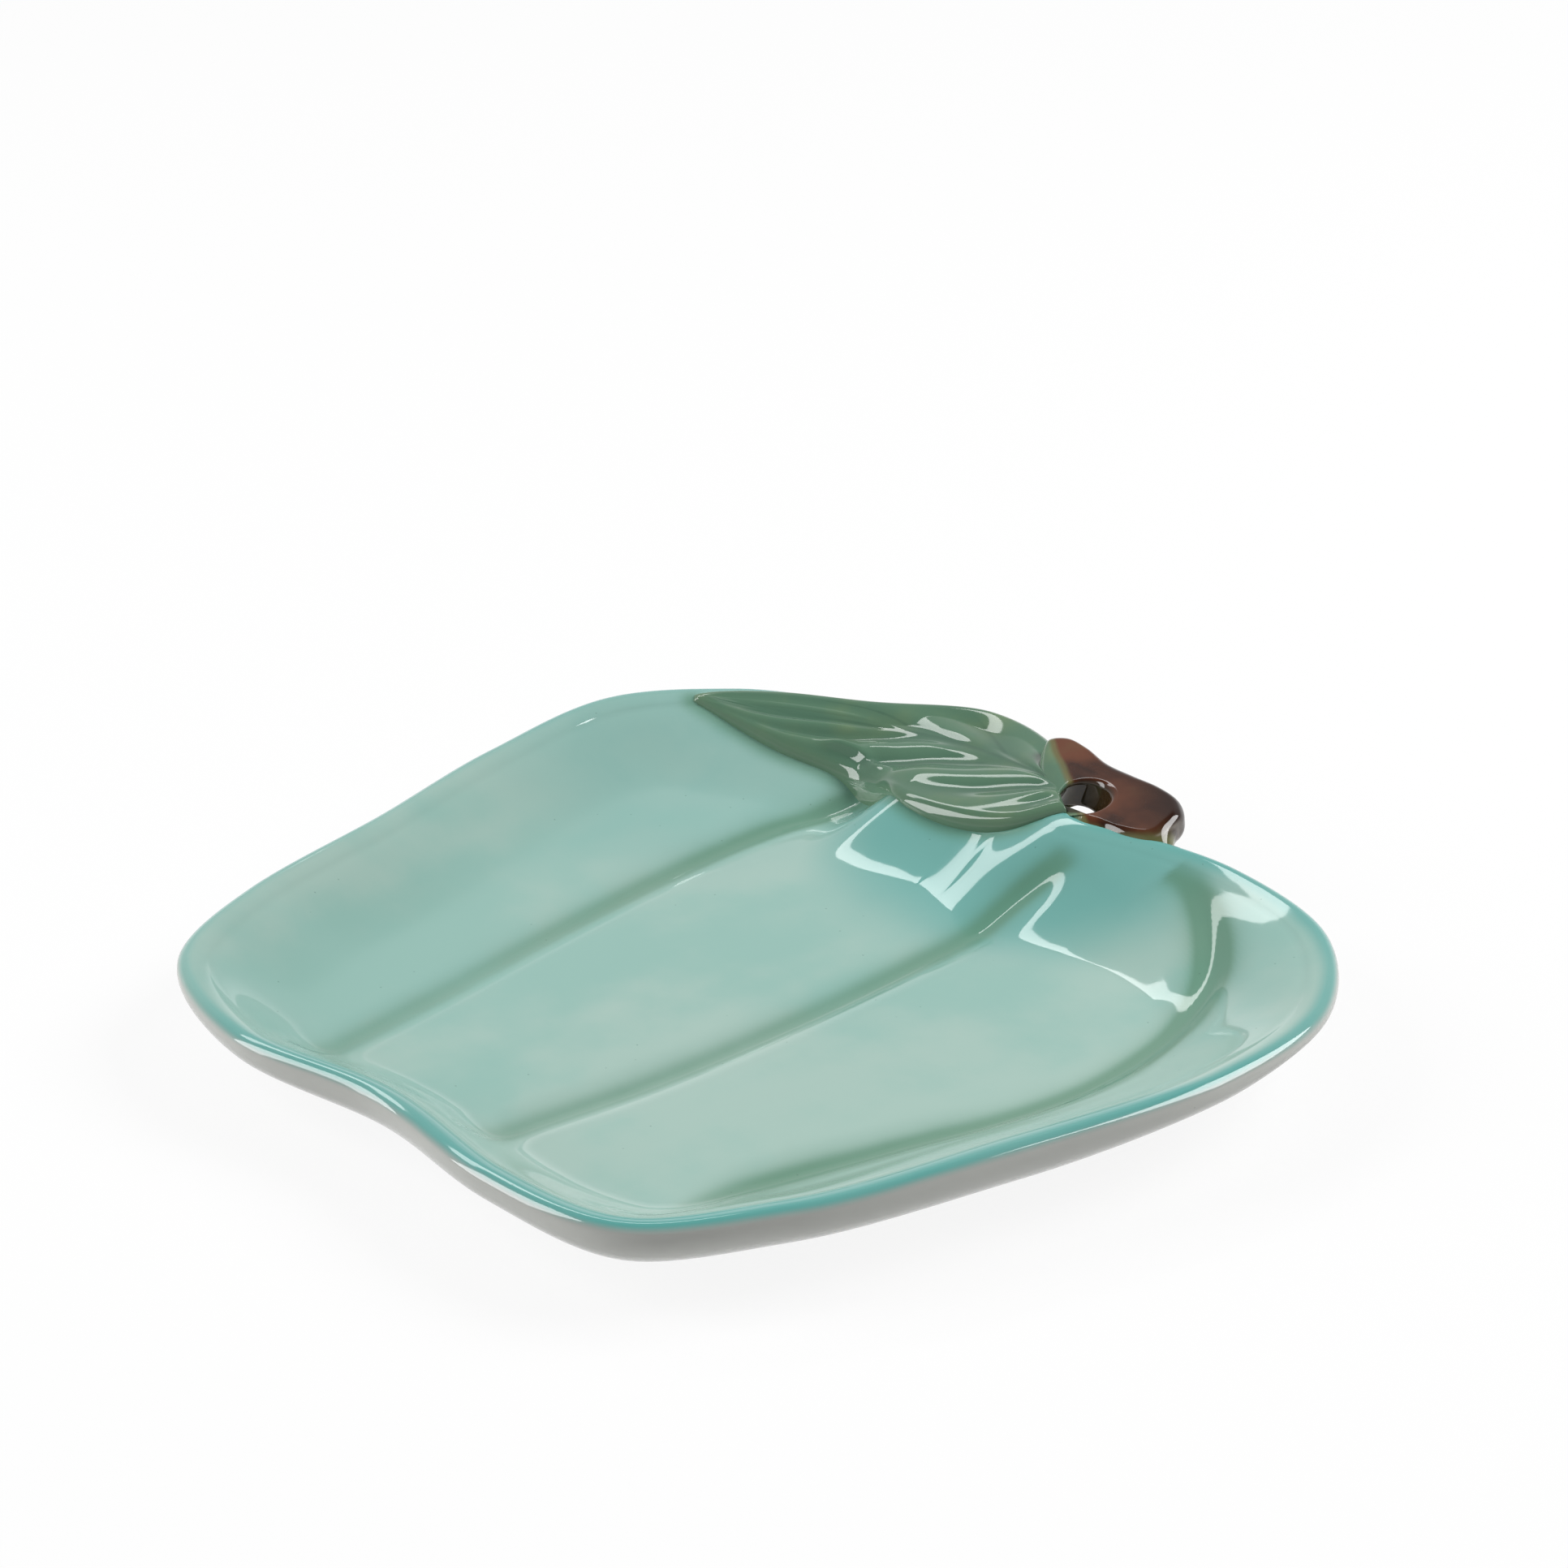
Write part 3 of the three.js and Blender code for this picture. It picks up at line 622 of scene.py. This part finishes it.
# Section of the ring: across from its middle, and height
quarter = np.linspace(0, np.pi / 2, FOOT_ARC_STEPS)
out_arc = np.stack([FOOT_THICKNESS / 2 - FOOT_ROUNDING * (1 - np.cos(quarter)),
                    FOOT_ROUNDING * (1 - np.sin(quarter))], 1)
in_arc = out_arc[::-1] * np.array([-1, 1])
foot_section = np.vstack([[FOOT_THICKNESS / 2, FOOT_TOP], out_arc,
                          in_arc, [-FOOT_THICKNESS / 2, FOOT_TOP]])
foot_across, foot_up = foot_section[:, 0, None], foot_section[:, 1, None]
foot_centre = foot_line + middle - np.array([0, FOOT_SETBACK])
foot_plan = foot_centre[None] - foot_inwards[None] * foot_across[..., None]
foot_rows = np.dstack([foot_plan, np.broadcast_to(foot_up, foot_plan.shape[:2])])
foot_faces = band_faces(len(foot_rows), FOOT_COLUMNS, wrap_rows=True)
foot = piece("foot", foot_rows.reshape(-1, 3), foot_faces)

CLAY = colour(216, 209, 196)
CLAY_LIGHT = colour(228, 223, 213)
CLAY_STAINED = colour(196, 184, 166)
CLAY_ROUGHNESS = 0.75
GRIT_SCALE = 420.0
GRIT_STRENGTH = 0.4
GRIT_DEPTH = 0.1 * MM
STAIN_SCALE = 40.0

bisque = Finish("bare_foot", CLAY_ROUGHNESS)
grit = bisque.noise(GRIT_SCALE, 5.0)
clay = bisque.blend(grit.step(0.4, 0.7), CLAY, CLAY_LIGHT)
clay = bisque.blend(bisque.noise(STAIN_SCALE, 3.0).step(0.5, 0.8) * 0.5, clay, CLAY_STAINED)
bisque.set(bisque.shader.inputs["Base Color"], clay)
bisque.bump(GRIT_STRENGTH, GRIT_DEPTH, grit)
bisque.wear(foot)

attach(foot, "root")
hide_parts("foot_ring")


# ---------------------------------------------------------------------------
# Leaf
# A pressed leaf luted over the shoulder, with a midrib, side veins and full
# cushions between them. Its sage glaze runs darker into the veins.
# ---------------------------------------------------------------------------
# From the stem to the tip, in shares of the half width and half length
MIDRIB = np.array([[-0.01, 0.82], [-0.124, 0.852], [-0.258, 0.871], [-0.383, 0.865],
                   [-0.488, 0.833], [-0.584, 0.787], [-0.735, 0.692], [-0.876, 0.606]])
LEAF_BASE = 21.2
LEAF_TIP = 16.6
TIP_RUN = 0.68
LEAF_INSET = 0.4 * MM
LEAF_LENGTH = 90 * MM
LEAF_THICKNESS = 2.6 * MM
LEAF_LEAST = 0.8 * MM
LEAF_TUCK = 0.2 * MM
THIN_SHARE = 0.5
THIN_START = 0.5
THIN_RUN = 0.4
THIN_ACROSS = 0.9
LEAF_ROUND = 3 * MM
CUSHION_HEIGHT = 1.35 * MM
VEIN_FIRST = 0.2
VEIN_STEP = 0.3
NEAR_SWEEP = 0.62
FAR_SWEEP = 0.4
FAR_CUSHIONS = 0.6
CUSHION_RISE = 0.2
CUSHION_FALL = 0.5
CUSHION_BASE_RUN = 0.1
CUSHION_TIP_RUN = 0.3
MIDRIB_DEPTH = 0.4 * MM
MIDRIB_WIDTH = 0.18
MIDRIB_BASE_RUN = 0.06
MIDRIB_TIP_RUN = 0.1
CREASE_WIDTH = 0.06
DRAPE = 0.9
DRAPE_PASSES = 3000
SUNK = 1 * MM
LEAF_ROWS = 300
LEAF_COLUMNS = 64
# Small fold of the leaf where it leaves the wall for the floor
FOLD = np.array([[-0.6, 0.685], [-0.545, 0.715], [-0.48, 0.725], [-0.44, 0.712], [-0.38, 0.722]])
FOLD_HEIGHT = 1.1 * MM
FOLD_WIDTH = 1.5 * MM
FOLD_STEPS = 60
FOLD_FADE = 15

leaf_along = np.linspace(0, 1, LEAF_ROWS + 1)
leaf_across = np.sin(np.linspace(-np.pi / 2, np.pi / 2, 2 * LEAF_COLUMNS + 1))
leaf_middle = curve(MIDRIB * HALF + middle, leaf_along * (len(MIDRIB) - 1))
leaf_near = curve(NEAR_MARGIN * HALF + middle, leaf_along * (len(NEAR_MARGIN) - 1))
leaf_tip = 2 * leaf_middle[-1] - leaf_near[-1]
leaf_far = rim_point(mix(LEAF_BASE, LEAF_TIP, leaf_along), LEAF_INSET)
to_tip = smooth((leaf_along - TIP_RUN) / (1 - TIP_RUN))[:, None]
leaf_far = mix(leaf_far, leaf_tip, to_tip)
out = np.abs(leaf_across)[None, :]
side = np.where((leaf_across < 0)[None, :, None], leaf_near[:, None], leaf_far[:, None])
leaf_plan = mix(leaf_middle[:, None], side, out[..., None])

leaf_width = np.linalg.norm(side - leaf_middle[:, None], axis=2)
from_end = np.minimum(leaf_along, 1 - leaf_along)[:, None] * LEAF_LENGTH
from_edge = np.minimum((1 - out) * leaf_width, from_end)
edge_share = 1 - round_drop(1 - from_edge / LEAF_ROUND)

# Cushions: the square of a sine between two veins, level with the leaf at midrib and margin
near = (leaf_across < 0)[None, :]
vein_place = leaf_along[:, None] - np.where(near, NEAR_SWEEP, FAR_SWEEP) * out
wave = np.sin(np.pi * (vein_place - VEIN_FIRST) / VEIN_STEP) ** 2
envelope = smooth(out / CUSHION_RISE) * smooth((1 - out) / CUSHION_FALL)
ends = smooth(leaf_along / CUSHION_BASE_RUN) * smooth((1 - leaf_along) / CUSHION_TIP_RUN)
ends = ends[:, None]
cushion = (wave - 0.5) * envelope * ends * np.where(near, 1, FAR_CUSHIONS)

# Midrib: a bell curve across the leaf. Creases: narrow ones along it and along the veins.
rib_ends = smooth(leaf_along / MIDRIB_BASE_RUN) * smooth((1 - leaf_along) / MIDRIB_TIP_RUN)
rib = np.exp(-((out / MIDRIB_WIDTH) ** 2)) * rib_ends[:, None]
crease = np.exp(-wave / CREASE_WIDTH) * envelope + np.exp(-((out / CREASE_WIDTH) ** 2))
crease = crease * ends
leaf_skin, leaf_climb = bowl_height(leaf_plan[..., 0], leaf_plan[..., 1])
leaf_skin -= groove_depth(leaf_plan[..., 0], leaf_plan[..., 1])[0] * leaf_climb

# The clay drapes like a sheet held at its edges: each inner spot at its neighbours' mean
sheet = leaf_skin.copy()
for _ in range(DRAPE_PASSES):
    around = sheet[:-2, 1:-1] + sheet[2:, 1:-1] + sheet[1:-1, :-2] + sheet[1:-1, 2:]
    sheet[1:-1, 1:-1] = around / 4

# Full thickness near the stem, thinner to the tip and to the far margin, with a small fold
full = LEAF_THICKNESS * mix(1, THIN_SHARE, smooth((leaf_along - THIN_START) / THIN_RUN))[:, None]
full = full * mix(1, THIN_SHARE, smooth(leaf_across / THIN_ACROSS))[None, :]
fold_line = curve(FOLD * HALF + middle, np.linspace(0, len(FOLD) - 1, FOLD_STEPS))
fold_away, fold_along = nearest(fold_line, leaf_plan[..., 0], leaf_plan[..., 1])
fold = np.exp(-((fold_away / FOLD_WIDTH) ** 2)) * smooth(fold_along / FOLD_FADE)
fold = fold * smooth((FOLD_STEPS - 1 - fold_along) / FOLD_FADE)
raised = full + CUSHION_HEIGHT * cushion - MIDRIB_DEPTH * rib + FOLD_HEIGHT * fold
leaf_top = mix(leaf_skin, sheet, DRAPE) + raised * edge_share
leaf_top = np.maximum(leaf_top, leaf_skin + LEAF_LEAST * edge_share - LEAF_TUCK)
leaf_under = leaf_skin - SUNK

# The top grid, and the same grid turned over below the dish's skin, joined at the edges
rows, columns = leaf_top.shape
grid = np.arange(rows * columns).reshape(rows, columns)
top_points = np.dstack([leaf_plan, leaf_top]).reshape(-1, 3)
under_points = np.dstack([leaf_plan, leaf_under]).reshape(-1, 3)


def sheet_faces(grid):
    """Four-cornered faces of an open grid."""
    corners = [grid[:-1, :-1], grid[1:, :-1], grid[1:, 1:], grid[:-1, 1:]]
    return np.stack([c.ravel() for c in corners], 1)


loop = np.concatenate([grid[0, :-1], grid[:-1, -1], grid[-1, :0:-1], grid[:0:-1, 0]])
beside = np.roll(loop, -1)
wall_faces = np.stack([loop, beside, beside + grid.size, loop + grid.size], 1)
leaf_faces = np.vstack([sheet_faces(grid)[:, ::-1], sheet_faces(grid) + grid.size,
                        wall_faces[:, ::-1]])

# Where the glaze runs thin or thick: veins, hollows, and the distance to the margin
MARGIN_WIDTH = 5 * MM
plain = np.zeros(grid.size)
leaf_shares = {"vein": np.r_[crease.ravel(), plain],
               "hollow": np.r_[(0.5 - cushion + rib * 0.5).ravel(), plain],
               "margin": np.r_[np.clip(from_edge / MARGIN_WIDTH, 0, 1).ravel(), plain]}
leaf = piece("leaf_blade", np.vstack([top_points, under_points]), leaf_faces.tolist(), leaf_shares)

LEAF_GREEN = colour(92, 127, 104)
LEAF_LIGHT = colour(117, 141, 106)
LEAF_DARK = colour(59, 95, 79)
LEAF_EDGE = colour(106, 138, 111)
LEAF_VEIN = colour(58, 88, 74)
WASH_SCALE = 55.0
FLECK_SCALE = 190.0

sage = Finish("leaf_glaze", GLAZE_ROUGHNESS)
wash = sage.noise(WASH_SCALE, 4.0)
fleck = sage.noise(FLECK_SCALE, 4.0)
sage_colour = sage.blend(wash.step(0.45, 0.85), LEAF_GREEN, LEAF_LIGHT)
sage_colour = sage.blend(sage.share("hollow").step(0.2, 1.0) * 0.4, sage_colour, LEAF_DARK)
in_vein = (sage.share("vein") + (fleck - 0.5) * 0.8).step(0.5, 1.2)
sage_colour = sage.blend(in_vein * 0.4, sage_colour, LEAF_VEIN)
at_margin = (1 - sage.share("margin")).step(0.5, 1.0)
sage_colour = sage.blend(at_margin * 0.7, sage_colour, LEAF_EDGE)
sage.set(sage.shader.inputs["Base Color"], sage_colour)
sage.wear(leaf)

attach(leaf, "root")
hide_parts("leaf")


# ---------------------------------------------------------------------------
# Stem
# A thick bar of clay luted along the rim and cut off square, with a hole pierced
# through it to hang the plate. Its brown glaze is brushed on lengthwise.
# ---------------------------------------------------------------------------
STEM_THICKNESS = 7 * MM
STEM_TOP = 24.5 * MM
STEM_SLOPE = 3.6 / 20.4
EYE_RADIUS = 5.8 * MM
EYE_ROUND = 1.1 * MM
EYE_LEAN = np.array([-3.4, -2.4]) * MM
EDGE_ROUND = 3 * MM
CUT_ROUND = 2.4 * MM
CUT_START = 0.88
CUT_RUN = 0.1
CUT_INSET = 0.1 * MM
CUT_BLUR = 0.25 * MM
SKIRT = 4.2 * MM
SKIRT_HEIGHT = 3.4 * MM
SKIRT_ROUND = 2.5 * MM
SKIRT_SIDE = 0.25
SKIRT_SIDE_RUN = 0.5
SKIRT_LEAF_SIDE = -1.2
SKIRT_LEAF_RUN = 0.4
ROOT_DROP = 2.8 * MM
ROOT_RUN = 8 * MM
BORDER_PLACE = np.array([-7.3, 2.7]) * MM
BORDER_ACROSS = np.array([0.59, 0.807])
EYE_PLACE = np.array([6.3, 85.1]) * MM
EYE_BACK = 3.8 * MM
# Outline from above, in millimetres from the eye, anticlockwise from the cut end
STEM_OUTLINE = np.array([
    [21.5, -1.7], [21.7, 2.8], [20.8, 7.6], [17.2, 11.3], [11, 13], [3, 13.3],
    [-5.5, 13.6], [-13.5, 15.6], [-19.5, 15.8], [-22.5, 13], [-19.5, 6.5], [-13.5, 0],
    [-9, -4.2], [-4.5, -6.9], [1, -7.7], [5.5, -7.2], [10, -5.8], [15.5, -4.6]]) * MM
STEM_COLUMNS = 360
BORE_ROWS = 9
TOP_ROWS = 26
SIDE_ROWS = 6
UNDER_ROWS = 20
EYE_ARC_ROWS = 9
UPPER_ARC_ROWS = 13
LOWER_ARC_ROWS = 11

stem_places = np.arange(STEM_COLUMNS) / STEM_COLUMNS * len(STEM_OUTLINE)
stem_outer = curve(STEM_OUTLINE, stem_places, closed=True)
stem_reach = np.linalg.norm(stem_outer, axis=1)
stem_ray = stem_outer / stem_reach[:, None]
half_thick = STEM_THICKNESS / 2


def arc(centre_away, centre_up, radius, start, end, count):
    """Quarter circle in a section: away from the eye, and up."""
    t = np.radians(np.linspace(start, end, count))[:, None]
    return centre_away + radius * np.cos(t), centre_up + radius * np.sin(t) + 0 * centre_away


def run(start, end, up_start, up_end, count):
    """Straight run in a section, without its ends."""
    t = np.linspace(0, 1, count + 2)[1:-1, None]
    return mix(start, end, t), mix(up_start, up_end, t) + 0 * start


bore = np.full(STEM_COLUMNS, EYE_RADIUS)
edge_round = mix(EDGE_ROUND, CUT_ROUND, smooth((stem_ray[:, 0] - CUT_START) / CUT_RUN))
eye_up, edge_up = half_thick - EYE_ROUND, half_thick - edge_round
section = [
    run(bore, bore, -eye_up, eye_up, BORE_ROWS),
    arc(bore + EYE_ROUND, eye_up, EYE_ROUND, 180, 90, EYE_ARC_ROWS),
    run(bore + EYE_ROUND, stem_reach - edge_round, half_thick, half_thick, TOP_ROWS),
    arc(stem_reach - edge_round, edge_up, edge_round, 90, 0, UPPER_ARC_ROWS),
    run(stem_reach, stem_reach, edge_up, -edge_up, SIDE_ROWS),
    arc(stem_reach - edge_round, -edge_up, edge_round, 0, -90, LOWER_ARC_ROWS),
    run(stem_reach - edge_round, bore + EYE_ROUND, -half_thick, -half_thick, UNDER_ROWS),
    arc(bore + EYE_ROUND, -eye_up, EYE_ROUND, -90, -180, EYE_ARC_ROWS),
]
away = np.concatenate([part[0] for part in section])[::-1]
up = np.concatenate([part[1] for part in section])[::-1]

# On the plate's side the edge runs out in a skirt over the lip
below = np.clip((half_thick - up) / SKIRT_HEIGHT, 0, 1)
plate_side = smooth((SKIRT_SIDE - stem_ray[:, 1]) / SKIRT_SIDE_RUN)
plate_side = plate_side * smooth((stem_ray[:, 0] - SKIRT_LEAF_SIDE) / SKIRT_LEAF_RUN)
hair = 0.2 * MM
outer_part = (away > bore + EYE_ROUND + hair) & (up > -half_thick + hair)
skirt = below * plate_side * outer_part
away = away + SKIRT * skirt * smooth((up + half_thick) / SKIRT_ROUND)
local = away[..., None] * stem_ray[None]

# The eye leans towards the leaf on its way down
lean = np.clip((bore + EYE_ROUND * 1.2 - away) / EYE_ROUND, 0, 1)
lean = lean * (half_thick - up) / STEM_THICKNESS
local = local + lean[..., None] * EYE_LEAN

# The leaf's glaze covers the root, which sinks under the leaf past a slanting border
past_border = ((local - BORDER_PLACE) * BORDER_ACROSS).sum(-1)
up = up - ROOT_DROP * smooth(-past_border / ROOT_RUN)
tilt = math.atan(STEM_SLOPE)
eye_height = STEM_TOP - half_thick - EYE_BACK * STEM_SLOPE
stem_rows = np.dstack([
    local[..., 0] + EYE_PLACE[0] + middle[0],
    local[..., 1] * math.cos(tilt) - up * math.sin(tilt) + EYE_PLACE[1] + middle[1],
    local[..., 1] * math.sin(tilt) + up * math.cos(tilt) + eye_height,
])

# The glaze is thin on the upper edge of the cut end, and inside the eye the brown is darkened as
# painted shade
cut_end = np.exp(-(((away - stem_reach + CUT_INSET) / CUT_BLUR) ** 2))
cut_end = cut_end * smooth((stem_ray[:, 0] - 0.93) / 0.06)
cut_end = cut_end * smooth((stem_ray[:, 1] + 0.12) / 0.08)
eye_shade = np.clip((bore + EYE_ROUND * 0.6 - away) / (EYE_ROUND * 0.6), 0, 1)
stem_shares = {"past_border": past_border / (10 * MM), "skirt": skirt,
               "cut_end": cut_end, "hollow": eye_shade}
stem_faces = band_faces(len(stem_rows), STEM_COLUMNS, wrap_rows=True)
stem = piece("stem_bar", stem_rows.reshape(-1, 3), stem_faces, stem_shares)

BROWN = colour(73, 39, 24)
BROWN_RED = colour(120, 69, 44)
BROWN_DARK = colour(30, 15, 9)
OLIVE = colour(110, 112, 72)
PALE_CLAY = colour(196, 190, 178)
# Painted shade for the inside of the eye
EYE_SHADE_BROWN = colour(52, 42, 26)
BARK_ROUGHNESS = 0.07
STREAK_STRETCH = (30.0, 150.0, 90.0)
BLOTCH_SCALE = 75.0

bark = Finish("stem_glaze", BARK_ROUGHNESS)
streak = bark.noise(1.0, 5.0, bark.stretched(STREAK_STRETCH))
blotch = bark.noise(BLOTCH_SCALE, 3.0)
past_leaf = bark.share("past_border")

# Streaked brown, redder at the leaf and darker towards the cut end
bark_colour = bark.blend((streak + (blotch - 0.5) * 0.5).step(0.3, 0.62), BROWN_DARK, BROWN)
red = (blotch - past_leaf * 0.1).step(0.3, 0.6)
bark_colour = bark.blend(red * 0.6, bark_colour, BROWN_RED)
dark = (past_leaf + (blotch - 0.5)).step(0.6, 2.3)
bark_colour = bark.blend(dark * 0.92, bark_colour, BROWN_DARK)

# Olive and then aqua down the skirt, thin on the cut end
fringe = bark.share("skirt") + (blotch - 0.5) * 0.5
bark_colour = bark.blend(fringe.step(0.05, 0.35) * 0.85, bark_colour, OLIVE)
bark_colour = bark.blend(fringe.step(0.42, 0.7), bark_colour, AQUA_DEEP)
bark_colour = bark.blend(bark.share("cut_end") * 0.3, bark_colour, PALE_CLAY)

# Olive and then the leaf's green over the root
border = past_leaf + (blotch - 0.5) * 0.15
bark_colour = bark.blend((0.12 - border).step(0.0, 0.12) * 0.8, bark_colour, OLIVE)
moss = bark.blend(blotch.step(0.4, 0.7), LEAF_GREEN, LEAF_LIGHT)
bark_colour = bark.blend((0.0 - border).step(0.0, 0.14), bark_colour, moss)
# Painted shade: dark brown inside the eye, where the hole lies in shade
bark_colour = bark.blend(bark.share("hollow") * 0.9, bark_colour, EYE_SHADE_BROWN)
bark.set(bark.shader.inputs["Base Color"], bark_colour)
bark.wear(stem)

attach(stem, "root")
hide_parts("stem")


# ---------------------------------------------------------------------------
# Floor, light and camera
# A pale table in a white room, with one strip light high behind the plate and a
# large soft panel on each side of it. The camera looks down over the near rim.
# ---------------------------------------------------------------------------
FLOOR_HALF = 4.0
PAPER = colour(244, 244, 244)
PAPER_ROUGHNESS = 0.9
PAPER_GLOW = 0.9
BACKDROP_LEVEL = 0.45
CEILING_LEVEL = 0.25
FAINT_LEVEL = 0.05

floor_corners = [(-FLOOR_HALF, -FLOOR_HALF, 0), (FLOOR_HALF, -FLOOR_HALF, 0),
                 (FLOOR_HALF, FLOOR_HALF, 0), (-FLOOR_HALF, FLOOR_HALF, 0)]
floor_mesh = bpy.data.meshes.new("floor")
floor_mesh.from_pydata(floor_corners, [], [(0, 1, 2, 3)])
floor = bpy.data.objects.new("floor", floor_mesh)
bpy.context.collection.objects.link(floor)


def in_sight(nodes):
    """Sum of what tells that a ray comes from the camera, off a gloss or through a body."""
    kinds = ("Is Camera Ray", "Is Glossy Ray", "Is Transmission Ray")
    camera_ray, gloss, through = (nodes.add("ShaderNodeLightPath", {}, {}, kind) for kind in kinds)
    return camera_ray + gloss + through


# White to the camera and in the glaze, with the plate's shadow kept
paper = Finish("paper", PAPER_ROUGHNESS)
paper.set(paper.shader.inputs["Base Color"], PAPER)
matt = Value(paper, paper.shader.outputs["BSDF"])
glow = paper.add("ShaderNodeEmission", {}, {"Color": (1.0, 1.0, 1.0), "Strength": 1.0})
both = paper.add("ShaderNodeMixShader", {}, {0: in_sight(paper) * PAPER_GLOW, 1: matt, 2: glow})
paper.set(paper.tree.nodes["Material Output"].inputs["Surface"], both)
paper.wear(floor)

# The room is white at the table, pale up the backdrop and dim above it. It is seen by the
# camera and in the glaze, and lights the plate only faintly.
world = bpy.data.worlds.new("studio")
bpy.context.scene.world = world
world.use_nodes = True
room = Nodes(world.node_tree)
sight_line = room.add("ShaderNodeTexCoord", {}, {}, "Generated")
rise = room.add("ShaderNodeSeparateXYZ", {}, {"Vector": sight_line}, "Z")


def rising(low, high):
    """0 below one angle over the table and 1 above another, in degrees."""
    return rise.step(math.sin(math.radians(low)), math.sin(math.radians(high)))


backdrop = mix(1.0, BACKDROP_LEVEL, rising(3, 20))
ceiling = mix(1.0, CEILING_LEVEL, rising(42, 54))
faint = mix(FAINT_LEVEL, 1.0, in_sight(room).step(0.0, 1.0))
back = room.tree.nodes["Background"]
room.set(back.inputs["Color"], (1.0, 1.0, 1.0))
room.set(back.inputs["Strength"], backdrop * ceiling * faint)

CAMERA_TURN = 45
CAMERA_HEIGHT = 27
LAMP_DISTANCE = 1.6


def direction(turn, height):
    """Way out from the plate, degrees to the right of straight away from the camera and
    degrees up: sine and cosine of the one, each times the cosine of the other."""
    around, above = math.radians(turn - CAMERA_TURN), math.radians(height)
    level = math.cos(above)
    return Vector((math.sin(around) * level, math.cos(around) * level, math.sin(above)))


def lamp(name, outwards, size, radiance):
    """Soft rectangle of light aimed at the plate, with power pi times area times radiance."""
    data = bpy.data.lights.new(name, "AREA")
    data.shape = "RECTANGLE"
    data.size, data.size_y = size
    data.energy = radiance * math.pi * size[0] * size[1]
    made = bpy.data.objects.new(name, data)
    made.location = outwards * LAMP_DISTANCE
    made.rotation_mode = "QUATERNION"
    made.rotation_quaternion = (-outwards).to_track_quat("-Z", "Y")
    bpy.context.collection.objects.link(made)


lamp("strip", direction(-30, 47.5), (1.1, 0.17), 6)
lamp("left_panel", direction(-93, 32), (0.6, 1.3), 7.8)
lamp("right_panel", direction(80, 43), (1.0, 0.8), 9.5)

FIELD = 354.5 * MM
DISTANCE = 1000 * MM
SENSOR = 36.0
AIM = np.array([-76.11, 76.18]) * MM

camera_data = bpy.data.cameras.new("camera")
camera_data.sensor_width = SENSOR
camera_data.lens = SENSOR * DISTANCE / FIELD
camera = bpy.data.objects.new("camera", camera_data)
towards = direction(180, CAMERA_HEIGHT)
camera.location = Vector((*(middle + AIM), 0)) + towards * DISTANCE
camera.rotation_mode = "QUATERNION"
camera.rotation_quaternion = (-towards).to_track_quat("-Z", "Y")
bpy.context.collection.objects.link(camera)
bpy.context.scene.camera = camera

bpy.context.scene.view_settings.view_transform = "Standard"
